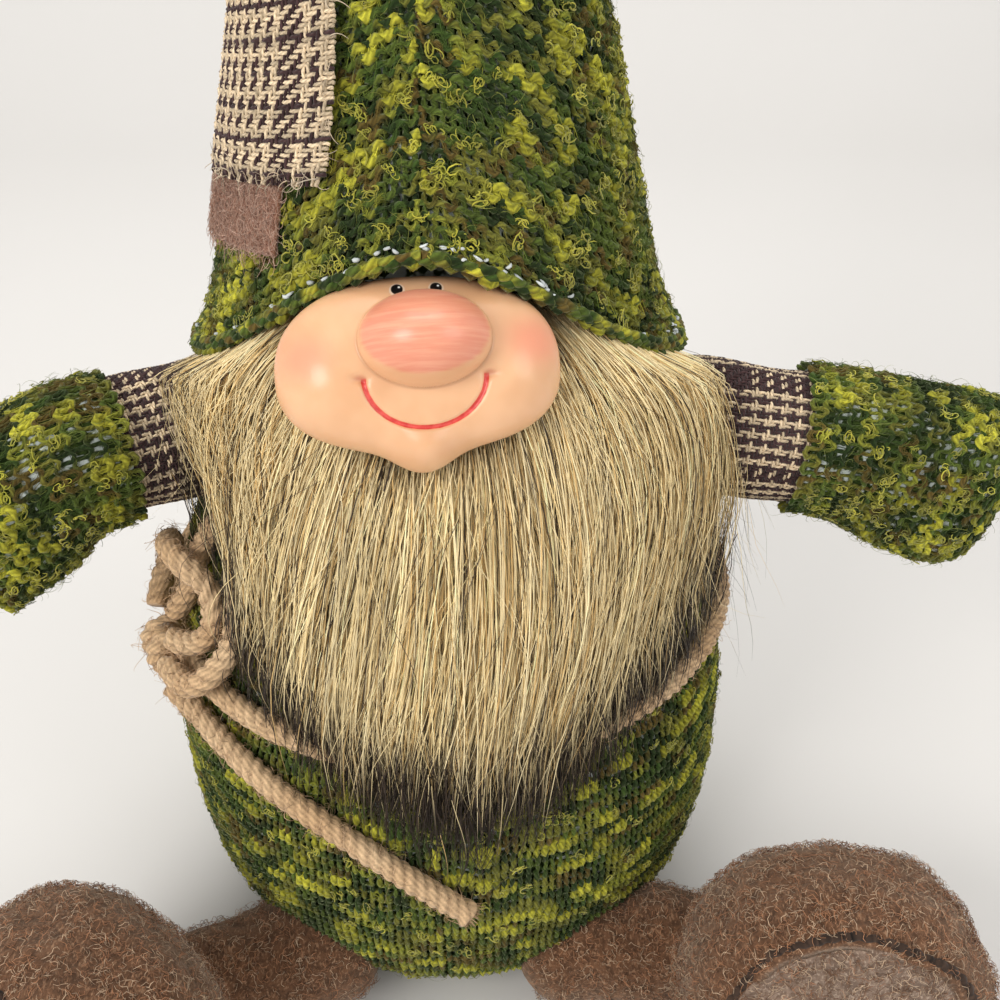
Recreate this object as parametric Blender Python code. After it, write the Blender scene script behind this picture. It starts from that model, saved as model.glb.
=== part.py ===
# Sitting felt-and-knit gnome: knitted body and cone hat over a white lining,
# cast resin face, fur beard, rope belt with a bow, stuffed arms and legs.
# Units are metres, +Z up, the figure faces -Y, origin at the middle of its base.
import math

import bmesh
import bpy
import numpy as np
from mathutils import Matrix, Vector

MM = 0.001

# ---------------------------------------------------------------- sizes (mm)
HEIGHT = 352.0            # floor to hat tip
KNIT = 2.2                # thickness of the knitted skins
LINING = 0.8              # thickness of the white lining cloth
GAP = 0.3                 # air left between touching pieces
BASE_RADIUS = 34.0        # flat disc the figure sits on
BASE_THICK = 1.6
ROPE = 5.0                # belt rope diameter
BELT_Z = 91.0
FELT = 1.6                # boot felt thickness

BODY_Z = [0.4, 3, 9, 18, 32, 48, 65, 78, 85, 91, 97, 105, 120, 135, 150, 162, 172, 180, 186]
BODY_R = [35.6, 44.5, 53, 59, 63, 64.5, 64.3, 62.8, 61.2, 59.4, 58.6, 56.5, 50.5, 44.5, 39.5, 36, 30.5, 22.5, 9]
HAT_Z = [145, 150, 155, 160, 168, 184, 200, 214, 250, 300, 335, 346, 350.5, 352]
HAT_R = [51.2, 49.6, 47.0, 44.8, 42.3, 38.5, 34.8, 31.5, 23.2, 11.6, 5.6, 4.4, 2.6, 0.6]
HAT_LEAN = (-7.0, 5.0)    # how far the tip leans in x and y

SHOULDER = Vector((48.5, -4.0, 131.5))
WRIST_L = Vector((77.0, -7.0, 129.0))
HAND_L = Vector((115.0, -9.5, 118.5))
WRIST_R = Vector((-68.5, -16.5, 132.0))
HAND_R = Vector((-97.5, -31.0, 120.0))
ARM_R = 13.6
HIP = Vector((27.0, -50.0, 15.6))
LEG_R = 13.4
BOOT_L = Vector((82.0, -70.0, 30.0))
BOOT_R = Vector((-73.0, -80.0, 27.0))

FACE_AT = Vector((-1.2, -48.6, 168.2))
FACE_TILT = math.radians(34.0)
FACE_YAW = math.radians(6.0)

KNOT_AZ = -64.0           # azimuth of the bow's knot, from the front towards +X


# ---------------------------------------------------------------- helpers
def clear_scene():
    for o in list(bpy.data.objects):
        bpy.data.objects.remove(o, do_unlink=True)


def ease(x, xs, ys):
    """Smooth curve through a table of points (monotone cubic)."""
    xs, ys = np.asarray(xs, float), np.asarray(ys, float)
    h = np.diff(xs)
    d = np.diff(ys) / h
    m = np.zeros(len(xs))
    m[0], m[-1] = d[0], d[-1]
    for i in range(1, len(xs) - 1):
        if d[i - 1] * d[i] > 0:
            w1, w2 = 2 * h[i] + h[i - 1], h[i] + 2 * h[i - 1]
            m[i] = (w1 + w2) / (w1 / d[i - 1] + w2 / d[i])
    x = np.clip(x, xs[0], xs[-1])
    i = np.clip(np.searchsorted(xs, x) - 1, 0, len(h) - 1)
    t = (x - xs[i]) / h[i]
    return float(
        (2 * t**3 - 3 * t**2 + 1) * ys[i]
        + (t**3 - 2 * t**2 + t) * h[i] * m[i]
        + (-2 * t**3 + 3 * t**2) * ys[i + 1]
        + (t**3 - t**2) * h[i] * m[i + 1]
    )


def step(a, b, x):
    t = min(1.0, max(0.0, (x - a) / (b - a)))
    return t * t * (3 - 2 * t)


def body_r(z):
    return ease(z, BODY_Z, BODY_R)


def hat_r(z):
    return ease(z, HAT_Z, HAT_R)


def hem_z(a):
    """Height of the hat's hem: low at the sides and back, arched over the face."""
    return 147.0 + 36.0 * math.exp(-(a * a))


def hat_point(a, z, off):
    lean = max(0.0, (z - 205.0) / (HEIGHT - 205.0)) ** 1.4
    lip = 5.6 * math.exp(-((a / 0.62) ** 2)) * (1 - step(182.0, 212.0, z))
    r = max(0.25, hat_r(z) + lip + off)
    return Vector((-0.5 + r * math.sin(a) + HAT_LEAN[0] * lean, -r * math.cos(a) + HAT_LEAN[1] * lean, z))


def body_point(az_deg, z, off):
    a = math.radians(az_deg)
    r = body_r(z) + off
    return Vector((r * math.sin(a), -r * math.cos(a), z))


def material(name, colour, rough, metallic=0.0):
    m = bpy.data.materials.new(name)
    m.use_nodes = True
    p = m.node_tree.nodes["Principled BSDF"]
    p.inputs["Base Color"].default_value = (*colour, 1.0)
    p.inputs["Roughness"].default_value = rough
    p.inputs["Metallic"].default_value = metallic
    return m


def finish(bm, name, mat, origin=(0, 0, 0), smooth=True):
    """Close up the mesh with its faces out, place its origin and make the object."""
    bmesh.ops.remove_doubles(bm, verts=bm.verts, dist=1e-7)
    bmesh.ops.recalc_face_normals(bm, faces=bm.faces)
    if bm.calc_volume(signed=True) < 0:
        bmesh.ops.reverse_faces(bm, faces=bm.faces)
    o = Vector(origin) * MM
    bmesh.ops.translate(bm, verts=bm.verts, vec=-o)
    me = bpy.data.meshes.new(name)
    bm.to_mesh(me)
    bm.free()
    if smooth:
        me.shade_smooth()
        me.set_sharp_from_angle(angle=math.radians(40))
    ob = bpy.data.objects.new(name, me)
    bpy.context.scene.collection.objects.link(ob)
    ob.location = o
    me.materials.append(mat)
    return ob


def turned(name, profile, steps, mat, closed=False):
    """Turn a profile of (radius, height) in mm about the vertical axis."""
    bm = bmesh.new()
    vs = [bm.verts.new((r * MM, 0, z * MM)) for r, z in profile]
    es = [bm.edges.new((vs[i], vs[i + 1])) for i in range(len(vs) - 1)]
    if closed:
        es.append(bm.edges.new((vs[-1], vs[0])))
    bmesh.ops.spin(
        bm, geom=vs + es, cent=(0, 0, 0), axis=(0, 0, 1), angle=2 * math.pi, steps=steps, use_duplicate=False
    )
    bmesh.ops.remove_doubles(bm, verts=bm.verts, dist=1e-6)
    return finish(bm, name, mat)


def loft(name, rings, mat, cap=True, wrap=False, origin=(0, 0, 0)):
    """Extrude a ring of points through a row of stations (mm)."""
    bm = bmesh.new()
    cur = [bm.verts.new(Vector(p) * MM) for p in rings[0]]
    n = len(cur)
    edges = [bm.edges.new((cur[i], cur[(i + 1) % n])) for i in range(n)]
    first_edges = list(edges)
    for ring in rings[1:] + ([rings[0]] if wrap else []):
        got = bmesh.ops.extrude_edge_only(bm, edges=edges)["geom"]
        new = [g for g in got if isinstance(g, bmesh.types.BMVert)]
        edges = [g for g in got if isinstance(g, bmesh.types.BMEdge)]
        at = {}
        for i, v in enumerate(cur):
            at[tuple(round(c, 8) for c in v.co)] = i
        nxt = [None] * n
        for v in new:
            nxt[at[tuple(round(c, 8) for c in v.co)]] = v
        for v, p in zip(nxt, ring):
            v.co = Vector(p) * MM
        cur = nxt
        new_edges = set(edges)
        edges = [e for e in new_edges if e.verts[0] in nxt and e.verts[1] in nxt]
        edges.sort(key=lambda e: min(nxt.index(e.verts[0]), nxt.index(e.verts[1])))
    if wrap:
        bmesh.ops.remove_doubles(bm, verts=bm.verts, dist=1e-7)
    elif cap:
        bmesh.ops.contextual_create(bm, geom=first_edges)
        bmesh.ops.contextual_create(bm, geom=edges)
        bmesh.ops.triangulate(bm, faces=[f for f in bm.faces if len(f.verts) > 4])
    return finish(bm, name, mat, origin)


def sheet_solid(name, cols, rows, inner, outer, mat):
    """A curved panel with an inner and an outer face and a rim all round."""
    bm = bmesh.new()
    grids = []
    for f in (inner, outer):
        grids.append(
            [[bm.verts.new(f(i / cols, j / rows) * MM) for j in range(rows + 1)] for i in range(cols + 1)]
        )
    for g in grids:
        for i in range(cols):
            for j in range(rows):
                bm.faces.new((g[i][j], g[i + 1][j], g[i + 1][j + 1], g[i][j + 1]))
    rims = [[e for e in bm.edges if e.is_boundary]]
    bmesh.ops.bridge_loops(bm, edges=rims[0])
    return finish(bm, name, mat)


def rope(name, points, mat, radius=ROPE / 2, sides=2):
    """A round rope along a smooth run of points (mm)."""
    cu = bpy.data.curves.new(name, "CURVE")
    cu.dimensions = "3D"
    cu.bevel_depth = radius * MM
    cu.bevel_resolution = sides
    cu.render_resolution_u = 0
    cu.use_fill_caps = True
    sp = cu.splines.new("POLY")
    sp.points.add(len(points) - 1)
    for p, q in zip(sp.points, points):
        p.co = (*(Vector(q) * MM), 1.0)
    ob = bpy.data.objects.new(name, cu)
    bpy.context.scene.collection.objects.link(ob)
    cu.materials.append(mat)
    return ob


def smooth_run(route, spacing):
    """Catmull-Rom curve through a route, read at even spacing."""
    P = [Vector(p) for p in route]
    P = [P[0] * 2 - P[1]] + P + [P[-1] * 2 - P[-2]]
    fine = []
    for i in range(1, len(P) - 2):
        for k in range(16):
            t = k / 16
            a, b, c, d = P[i - 1], P[i], P[i + 1], P[i + 2]
            fine.append(
                0.5 * ((2 * b) + (c - a) * t + (2 * a - 5 * b + 4 * c - d) * t * t + (3 * b - a - 3 * c + d) * t**3)
            )
    fine.append(P[-2])
    run = [0.0]
    for a, b in zip(fine, fine[1:]):
        run.append(run[-1] + (b - a).length)
    n = max(3, int(round(run[-1] / spacing)))
    out = []
    for k in range(n + 1):
        s = run[-1] * k / n
        j = min(len(fine) - 2, max(0, int(np.searchsorted(run, s)) - 1))
        u = (s - run[j]) / max(1e-9, run[j + 1] - run[j])
        out.append(fine[j].lerp(fine[j + 1], min(1, max(0, u))))
    return out


def cut(target, cutter, solver="EXACT"):
    """Subtract a guide object from a part, leaving the guide hidden."""
    b = target.modifiers.new("cut_" + cutter.name, "BOOLEAN")
    b.operation = "DIFFERENCE"
    b.solver = solver
    b.object = cutter


def ball_guide(name, centre, radius, segments=20, rings=12):
    bm = bmesh.new()
    bmesh.ops.create_uvsphere(bm, u_segments=segments, v_segments=rings, radius=radius * MM)
    me = bpy.data.meshes.new(name)
    bm.to_mesh(me)
    bm.free()
    ob = bpy.data.objects.new(name, me)
    bpy.context.scene.collection.objects.link(ob)
    ob.location = Vector(centre) * MM
    ob.hide_render = True
    ob.display_type = "WIRE"
    return ob


def oval(centre, side, up, rx, ry, n, power=2.0):
    pts = []
    for i in range(n):
        t = 2 * math.pi * i / n
        c, s = math.cos(t), math.sin(t)
        x = math.copysign(abs(c) ** (2 / power), c) * rx
        y = math.copysign(abs(s) ** (2 / power), s) * ry
        pts.append(Vector(centre) + Vector(side) * x + Vector(up) * y)
    return pts


# ---------------------------------------------------------------- materials
def make_materials():
    return {
        "knit": material("green_knit", (0.10, 0.15, 0.02), 0.95),
        "lining": material("white_lining", (0.62, 0.64, 0.60), 0.9),
        "fibre": material("polyester_filling", (0.80, 0.80, 0.78), 1.0),
        "pellets": material("pellet_bag_cloth", (0.55, 0.53, 0.48), 0.9),
        "tweed": material("houndstooth_tweed", (0.35, 0.28, 0.22), 0.95),
        "felt": material("brown_wool_felt", (0.22, 0.14, 0.09), 1.0),
        "sole": material("grey_brown_felt", (0.30, 0.22, 0.16), 1.0),
        "patchfelt": material("reddish_brown_felt", (0.20, 0.10, 0.07), 1.0),
        "resin": material("painted_resin", (0.80, 0.45, 0.30), 0.35),
        "fur": material("blond_fur", (0.60, 0.50, 0.32), 0.8),
        "furback": material("fur_backing", (0.45, 0.40, 0.30), 0.95),
        "rope": material("twisted_rope", (0.45, 0.32, 0.22), 0.95),
        "board": material("base_board", (0.25, 0.24, 0.18), 0.9),
    }


# ---------------------------------------------------------------- body
def make_body(M):
    outer = [(body_r(z), z) for z in (0.4, 3, 9, 20, 36, 56, 75, 91, 107, 128, 149, 166, 178, 186)]
    inner = []
    for z in (183, 172, 154, 130, 108, 91, 72, 45, 22, 10, 5):
        inner.append((max(6.5, body_r(min(z + 1.2, 186)) - KNIT), z))
    inner.append((BASE_RADIUS + GAP, 2.6))
    inner.append((BASE_RADIUS + GAP, 0.4))
    shell = turned("body_shell", outer + inner, 30, M["knit"], closed=True)

    off = KNIT + GAP
    zs_out = (6.0, 14, 32, 58, 91, 118, 146, 166)
    lo = [(max(5.0, body_r(min(z + 1.2, 186)) - off - 1.7), z) for z in zs_out]
    li = [(max(4.0, body_r(min(z + 1.2, 186)) - off - 1.7 - LINING), z + 0.5) for z in reversed(zs_out)]
    # the lining is open at the bottom, where the base disc closes it, and at the neck
    lining = turned("body_lining", lo + li, 22, M["lining"], closed=True)

    off2 = off + LINING + GAP + 3.6
    zs = (26.5, 44, 64, 91, 118, 145, 161)
    sp = [(0, 26.5)] + [(body_r(z) - off2, z) for z in zs] + [(20, 168), (0, 170.5)]
    stuffing = turned("body_filling", sp, 16, M["fibre"])

    bag = [(0, 3.6), (30, 3.6), (40, 8.0), (47.5, 14), (51.5, 20.0), (48, 24.5), (0, 25.5)]
    pellets = turned("pellet_bag", bag, 16, M["pellets"])

    disc = [(0, 0), (BASE_RADIUS, 0), (BASE_RADIUS, BASE_THICK), (0, BASE_THICK)]
    turned("base_disc", disc, 36, M["board"])

    for side, s in (("l", 1), ("r", -1)):
        arm = ball_guide("guide_armhole_" + side, (s * 51.5, -5.0, 130.0), 18.8, 18, 10)
        leg = ball_guide("guide_leghole_" + side, (s * (HIP.x + 5.0), HIP.y + 0.5, HIP.z + 1.5), 19.2, 18, 10)
        for o in (shell, lining, stuffing):
            cut(o, arm, "MANIFOLD")
        for o in (shell, lining, pellets, stuffing):
            cut(o, leg, "MANIFOLD")


# ---------------------------------------------------------------- hat
def hat_stations(a, off, zs):
    h = hem_z(a)
    out = []
    for t in zs:
        out.append(hat_point(a, h + (HEIGHT + min(0.0, off * 2.6) - h) * t, off))
    return out


def hat_rings(n, off, ts, lift=0.0):
    rings = []
    for t in ts:
        ring = []
        for i in range(n):
            a = 2 * math.pi * i / n
            if a > math.pi:
                a -= 2 * math.pi
            h = hem_z(a) + lift
            top = HEIGHT + off * 3.2
            ring.append(hat_point(a, h + (top - h) * t, off))
        rings.append(ring)
    return rings


def make_hat(M):
    n = 32
    ts = (0.0, 0.03, 0.085, 0.17, 0.29, 0.44, 0.60, 0.76, 0.90, 0.972, 1.0)
    outer = hat_rings(n, 0.0, ts)
    inner = hat_rings(n, -KNIT, (0.96, 0.88, 0.72, 0.52, 0.32, 0.15, 0.05, 0.0))
    make_cup("hat_shell", outer, list(reversed(inner)), M["knit"])

    n = 22
    off = -KNIT - GAP - 1.1
    lo = hat_rings(n, off, (0.0, 0.12, 0.30, 0.55, 0.80, 0.93), lift=3.0)
    li = hat_rings(n, off - LINING, (0.0, 0.12, 0.30, 0.55, 0.80, 0.915), lift=3.0)
    make_cup("hat_lining", lo, li, M["lining"])

    off = off - LINING - GAP - 1.2
    n = 16
    rings = []
    for z, k in ((191, 0.86), (200, 1.0), (222, 1.0), (250, 1.0), (285, 1.0), (312, 1.0)):
        ring = []
        for i in range(n):
            a = 2 * math.pi * i / n
            if a > math.pi:
                a -= 2 * math.pi
            p = hat_point(a, z, off)
            c = hat_point(0, z, 0) * 0.5 + hat_point(math.pi, z, 0) * 0.5
            ring.append(c + (p - c) * k)
        rings.append(ring)
    loft("hat_filling", rings, M["fibre"])


def make_cup(name, outer, inner, mat):
    """A hollow cone: outer rings from the hem to the tip, inner rings likewise, open at the hem."""
    bm = bmesh.new()
    n = len(outer[0])
    rings = []
    for group in (outer, inner):
        rings.append([[bm.verts.new(Vector(p) * MM) for p in ring] for ring in group])
    for g in rings:
        for r in range(len(g) - 1):
            for i in range(n):
                bm.faces.new((g[r][i], g[r][(i + 1) % n], g[r + 1][(i + 1) % n], g[r + 1][i]))
        cap = bm.faces.new(g[-1])
        bmesh.ops.triangulate(bm, faces=[cap])
    a, b = rings[0][0], rings[1][0]
    for i in range(n):
        bm.faces.new((a[(i + 1) % n], a[i], b[i], b[(i + 1) % n]))
    return finish(bm, name, mat)


def make_patches(M):
    def patch(name, a0, a1, z0, z1, slant, off, thick, mat, cols, rows):
        def at(off):
            def f(u, v):
                az = a0 + (a1 - a0) * u
                z = z0 + (z1 - z0) * v + slant * (az - (a0 + a1) / 2)
                return hat_point(math.radians(az), z, off)

            return f

        sheet_solid(name, cols, rows, at(off), at(off + thick), mat)

    patch("patch_felt", -86, -36, 178.5, 207.0, 0.13, GAP + 0.05, 1.5, M["patchfelt"], 7, 4)
    patch("patch_tweed", -74, -23, 193.0, 236.0, 0.13, GAP + 2.1, 1.2, M["tweed"], 7, 5)


# ---------------------------------------------------------------- face and beard
def face_axes():
    n_h = Vector((math.sin(FACE_YAW), -math.cos(FACE_YAW), 0))
    right = Vector((math.cos(FACE_YAW), math.sin(FACE_YAW), 0))
    up = Vector((0, 0, 1)) * math.cos(FACE_TILT) - n_h * math.sin(FACE_TILT)
    out = n_h * math.cos(FACE_TILT) + Vector((0, 0, 1)) * math.sin(FACE_TILT)
    return right, up, out


def face_outline(t):
    """Half-width of the mask in direction t: broad cheeks, a small chin, a low brow."""
    c, s = math.cos(t), math.sin(t)
    if s >= 0:
        rx, ry, p = 23.6, 15.6, 2.3
    else:
        rx, ry, p = 23.6, 13.2, 2.5
    r = 1.0 / ((abs(c) / rx) ** p + (abs(s) / ry) ** p) ** (1 / p)
    chin = 3.6 * math.exp(-(((t + math.pi / 2) / 0.40) ** 2))
    return r + chin


def face_front(x, y, s):
    """Height of the front over the mask's plane at (x, y) mm; s runs 0 at the middle to 1 at the rim."""
    dome = 8.4 * math.sqrt(max(0.0, 1 - s**2.6)) - 3.0
    nx, ny = (x - 1.6) / 10.3, (y - 5.4) / 7.9
    d2 = nx * nx + ny * ny
    return dome + 11.0 * math.exp(-1.1 * d2**1.5)


def make_face(M):
    right, up, out = face_axes()
    n = 36
    bm = bmesh.new()

    def at(x, y, w):
        return (FACE_AT + right * x + up * y + out * w) * MM

    def grid(levels, height):
        rings = []
        for s in levels:
            ring = []
            for i in range(n):
                t = 2 * math.pi * i / n - math.pi
                r = face_outline(t) * s
                x, y = r * math.cos(t), r * math.sin(t)
                ring.append(bm.verts.new(at(x, y, height(x, y, s))))
            rings.append(ring)
        return rings

    front = grid((0.12, 0.26, 0.40, 0.54, 0.68, 0.82, 0.93, 1.0), face_front)
    # a boss in the middle of the back stands on the head
    back = grid((0.22, 0.34, 0.60, 0.97), lambda x, y, s: -13.7 + 8.5 * step(0.30, 0.62, s))
    for g, y0 in ((front, 0), (back, 0)):
        for r in range(len(g) - 1):
            for i in range(n):
                bm.faces.new((g[r][i], g[r][(i + 1) % n], g[r + 1][(i + 1) % n], g[r + 1][i]))
        cap = bm.faces.new(g[0])
        bmesh.ops.triangulate(bm, faces=[cap])
    bmesh.ops.bridge_loops(bm, edges=[e for e in bm.edges if e.is_boundary])
    finish(bm, "face_mask", M["resin"])


def beard_bottom(az):
    return ease(
        az,
        [-62, -50, -43, -38.6, -35.5, -31, -24, -15, 0, 15, 28, 40, 50, 62],
        [141, 137, 133, 130.5, 116, 101, 93, 86, 79, 80, 84, 97, 102, 112],
    )


def beard_top(az):
    return 146.5 + 11.0 * step(16.0, 40.0, abs(az + 1))


def make_beard(M):
    def inner_off(z):
        return 2.1 + 4.2 * (1 - step(97.0, 108.0, z))

    columns = [-58, -50, -43, -38.6, -35.5, -30, -21, -11, 0, 11, 21, 30, 38, 45, 52, 60]

    def az_of(u, v):
        x = u * (len(columns) - 1)
        i = min(len(columns) - 2, int(x))
        return columns[i] + (columns[i + 1] - columns[i]) * (x - i)

    def inner(u, v):
        az = az_of(u, v)
        z = beard_top(az) + (beard_bottom(az) - beard_top(az)) * v
        return body_point(az, z, inner_off(z))

    def outer(u, v):
        az = az_of(u, v)
        z = beard_top(az) + (beard_bottom(az) - beard_top(az)) * v
        edge = min(1.0, min(u, 1 - u) / 0.16) ** 0.6
        tip = 1 - 0.65 * step(0.6, 1.0, v)
        root = 0.45 + 0.55 * step(0.0, 0.22, v)
        return body_point(az, z, inner_off(z) + 1.4 + 8.0 * edge * tip * root)

    sheet_solid("beard_pile", len(columns) - 1, 8, inner, outer, M["fur"])

    def back(off):
        def f(u, v):
            az = -36.0 + 88.0 * u
            top = beard_top(az) - 0.5
            low = max(beard_bottom(az) + 3.0, 112.0)
            return body_point(az, top + (low - top) * v, off)

        return f

    sheet_solid("beard_backing", 10, 4, back(GAP + 0.2), back(GAP + 1.3), M["furback"])


# ---------------------------------------------------------------- rope
def make_rope(M):
    r = ROPE / 2
    seat = r + GAP + 0.15
    knot = body_point(KNOT_AZ, 90.0, 5.9)
    bm = bmesh.new()
    bmesh.ops.create_uvsphere(bm, u_segments=14, v_segments=9, radius=1.0)
    a = math.radians(KNOT_AZ)
    tang, rad, up = Vector((math.cos(a), math.sin(a), 0)), Vector((math.sin(a), -math.cos(a), 0)), Vector((0, 0, 1))
    for v in bm.verts:
        q = v.co.copy()
        v.co = (knot + tang * q.x * 6.3 + rad * q.y * 5.2 + up * q.z * 7.2) * MM
    finish(bm, "belt_knot", M["rope"], knot)

    belt = [body_point(az, BELT_Z, seat) for az in np.linspace(KNOT_AZ + 7.6, KNOT_AZ + 360 - 7.6, 46)]
    rope("belt_rope", belt, M["rope"])

    A = lambda az, z, off: body_point(az, z, off)
    loop_a = smooth_run(
        [A(-69.0, 97.4, 7.2), A(-73.5, 101.5, 5.6), A(-74.5, 107.0, 4.8), A(-70.5, 112.4, 6.6), A(-64.0, 115.6, 9.2),
         A(-57.0, 116.2, 9.0), A(-51.8, 112.6, 5.0), A(-49.6, 106.6, 3.2), A(-51.0, 101.0, 3.4), A(-55.0, 98.0, 5.4),
         A(-58.6, 97.3, 6.8)],
        8.0 / 3)
    rope("bow_loop_front", loop_a, M["rope"])
    loop_b = smooth_run(
        [A(-64.5, 98.4, 4.2), A(-62.5, 104.0, 3.0), A(-61.5, 112.0, 3.0), A(-59.5, 119.0, 3.1), A(-55.0, 124.0, 3.1),
         A(-49.5, 125.0, 3.1), A(-45.6, 121.5, 3.1), A(-43.4, 115.0, 3.1), A(-42.6, 108.0, 3.1), A(-43.0, 101.8, 4.2),
         A(-45.6, 96.4, 7.8), A(-50.0, 93.6, 8.9), A(-56.9, 92.6, 8.7)],
        8.0 / 3)
    rope("bow_loop_rear", loop_b, M["rope"])
    tail = smooth_run(
        [A(-58.2, 85.2, 6.2), A(-53.5, 83.2, 4.2), A(-46.0, 81.4, 3.1), A(-38.0, 79.6, 3.0), A(-28.5, 76.6, 3.0),
         A(-19.0, 72.8, 3.0), A(-10.5, 67.0, 3.0), A(-3.5, 60.2, 3.0), A(4.5, 51.5, 3.0)],
        10.0 / 3)
    rope("rope_tail", tail, M["rope"])


# ---------------------------------------------------------------- arms
def axis_frame(a, b):
    d = (b - a).normalized()
    side = d.cross(Vector((0, 0, 1))).normalized()
    up = side.cross(d).normalized()
    return d, side, up


def make_arm(tag, wrist, hand, M):
    sh = Vector((SHOULDER.x * (1 if tag == "l" else -1), SHOULDER.y, SHOULDER.z))
    d, side, up = axis_frame(sh, wrist)
    L = (wrist - sh).length
    n = 18

    def tube(off, stations):
        return [oval(sh + d * x, side, up, r + off, r + off, n) for x, r in stations]

    # woven sleeve: a tube with a rounded, gathered root at the shoulder, open at both ends
    root = [(-11.2, 5.6), (-8.4, 9.4), (-3.0, 12.5), (4.0, 13.5)]
    run = [(L + 1.5, ARM_R - 0.2)]
    outer = tube(0.0, root + run)
    inner = tube(-1.2, [(L + 1.5, ARM_R - 0.2), (4.0, 13.5), (-3.0, 12.5), (-8.0, 9.6), (-10.4, 6.6)])
    loft("sleeve_" + tag, outer + inner, M["tweed"], wrap=True, origin=sh)

    # knitted mitten over the end of the sleeve
    d2, side2, up2 = axis_frame(wrist, hand)
    n = 20
    K = (hand - wrist).length

    def palm(off, rows):
        out = []
        for x, ry, rx, p in rows:
            f = step(0.0, 0.5, max(0.0, x) / K)
            dd = (d * (1 - f) + d2 * f).normalized()
            s2 = dd.cross(Vector((0, 0, 1))).normalized()
            u2 = s2.cross(dd).normalized()
            c = wrist + (d * x if x <= 0 else d * (x * (1 - f)) + d2 * (x * f))
            out.append(oval(c, s2, u2, rx + off, ry + off, n, p))
        return out

    rows = [(-2.5, 15.9, 15.9, 2.0), (5.0, 16.4, 15.2, 2.1), (14.0, 17.4, 14.2, 2.3), (24.0, 18.9, 13.6, 2.5),
            (33.0, 19.8, 12.8, 2.6), (K - 1.5, 18.9, 11.0, 2.6), (K + 2.2, 15.6, 7.6, 2.4)]
    outer = palm(0.0, rows)
    rows_in = [(-2.5, 15.9, 15.9, 2.0), (5.0, 16.4, 15.2, 2.1), (20.0, 18.2, 13.8, 2.4), (33.0, 19.8, 12.8, 2.5),
               (K - 1.2, 17.0, 9.4, 2.5)]
    inner = palm(-2.0, rows_in)
    make_cup("mitten_" + tag, outer, inner, M["knit"])

    fill = [oval(sh + d * x, side, up, r, r, 12) for x, r in ((-8.6, 6.6), (-3.0, 10.4), (4.0, 11.4), (L + 1.0, 11.2))]
    loft("arm_filling_" + tag, fill, M["fibre"])
    n = 14
    fill2 = palm(-3.0, [(4.6, 14.2, 14.0, 2.0), (14.0, 16.6, 13.4, 2.2), (27.0, 18.4, 12.6, 2.3), (K - 3.6, 15.8, 9.0, 2.3)])
    loft("hand_filling_" + tag, fill2, M["fibre"])


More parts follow.
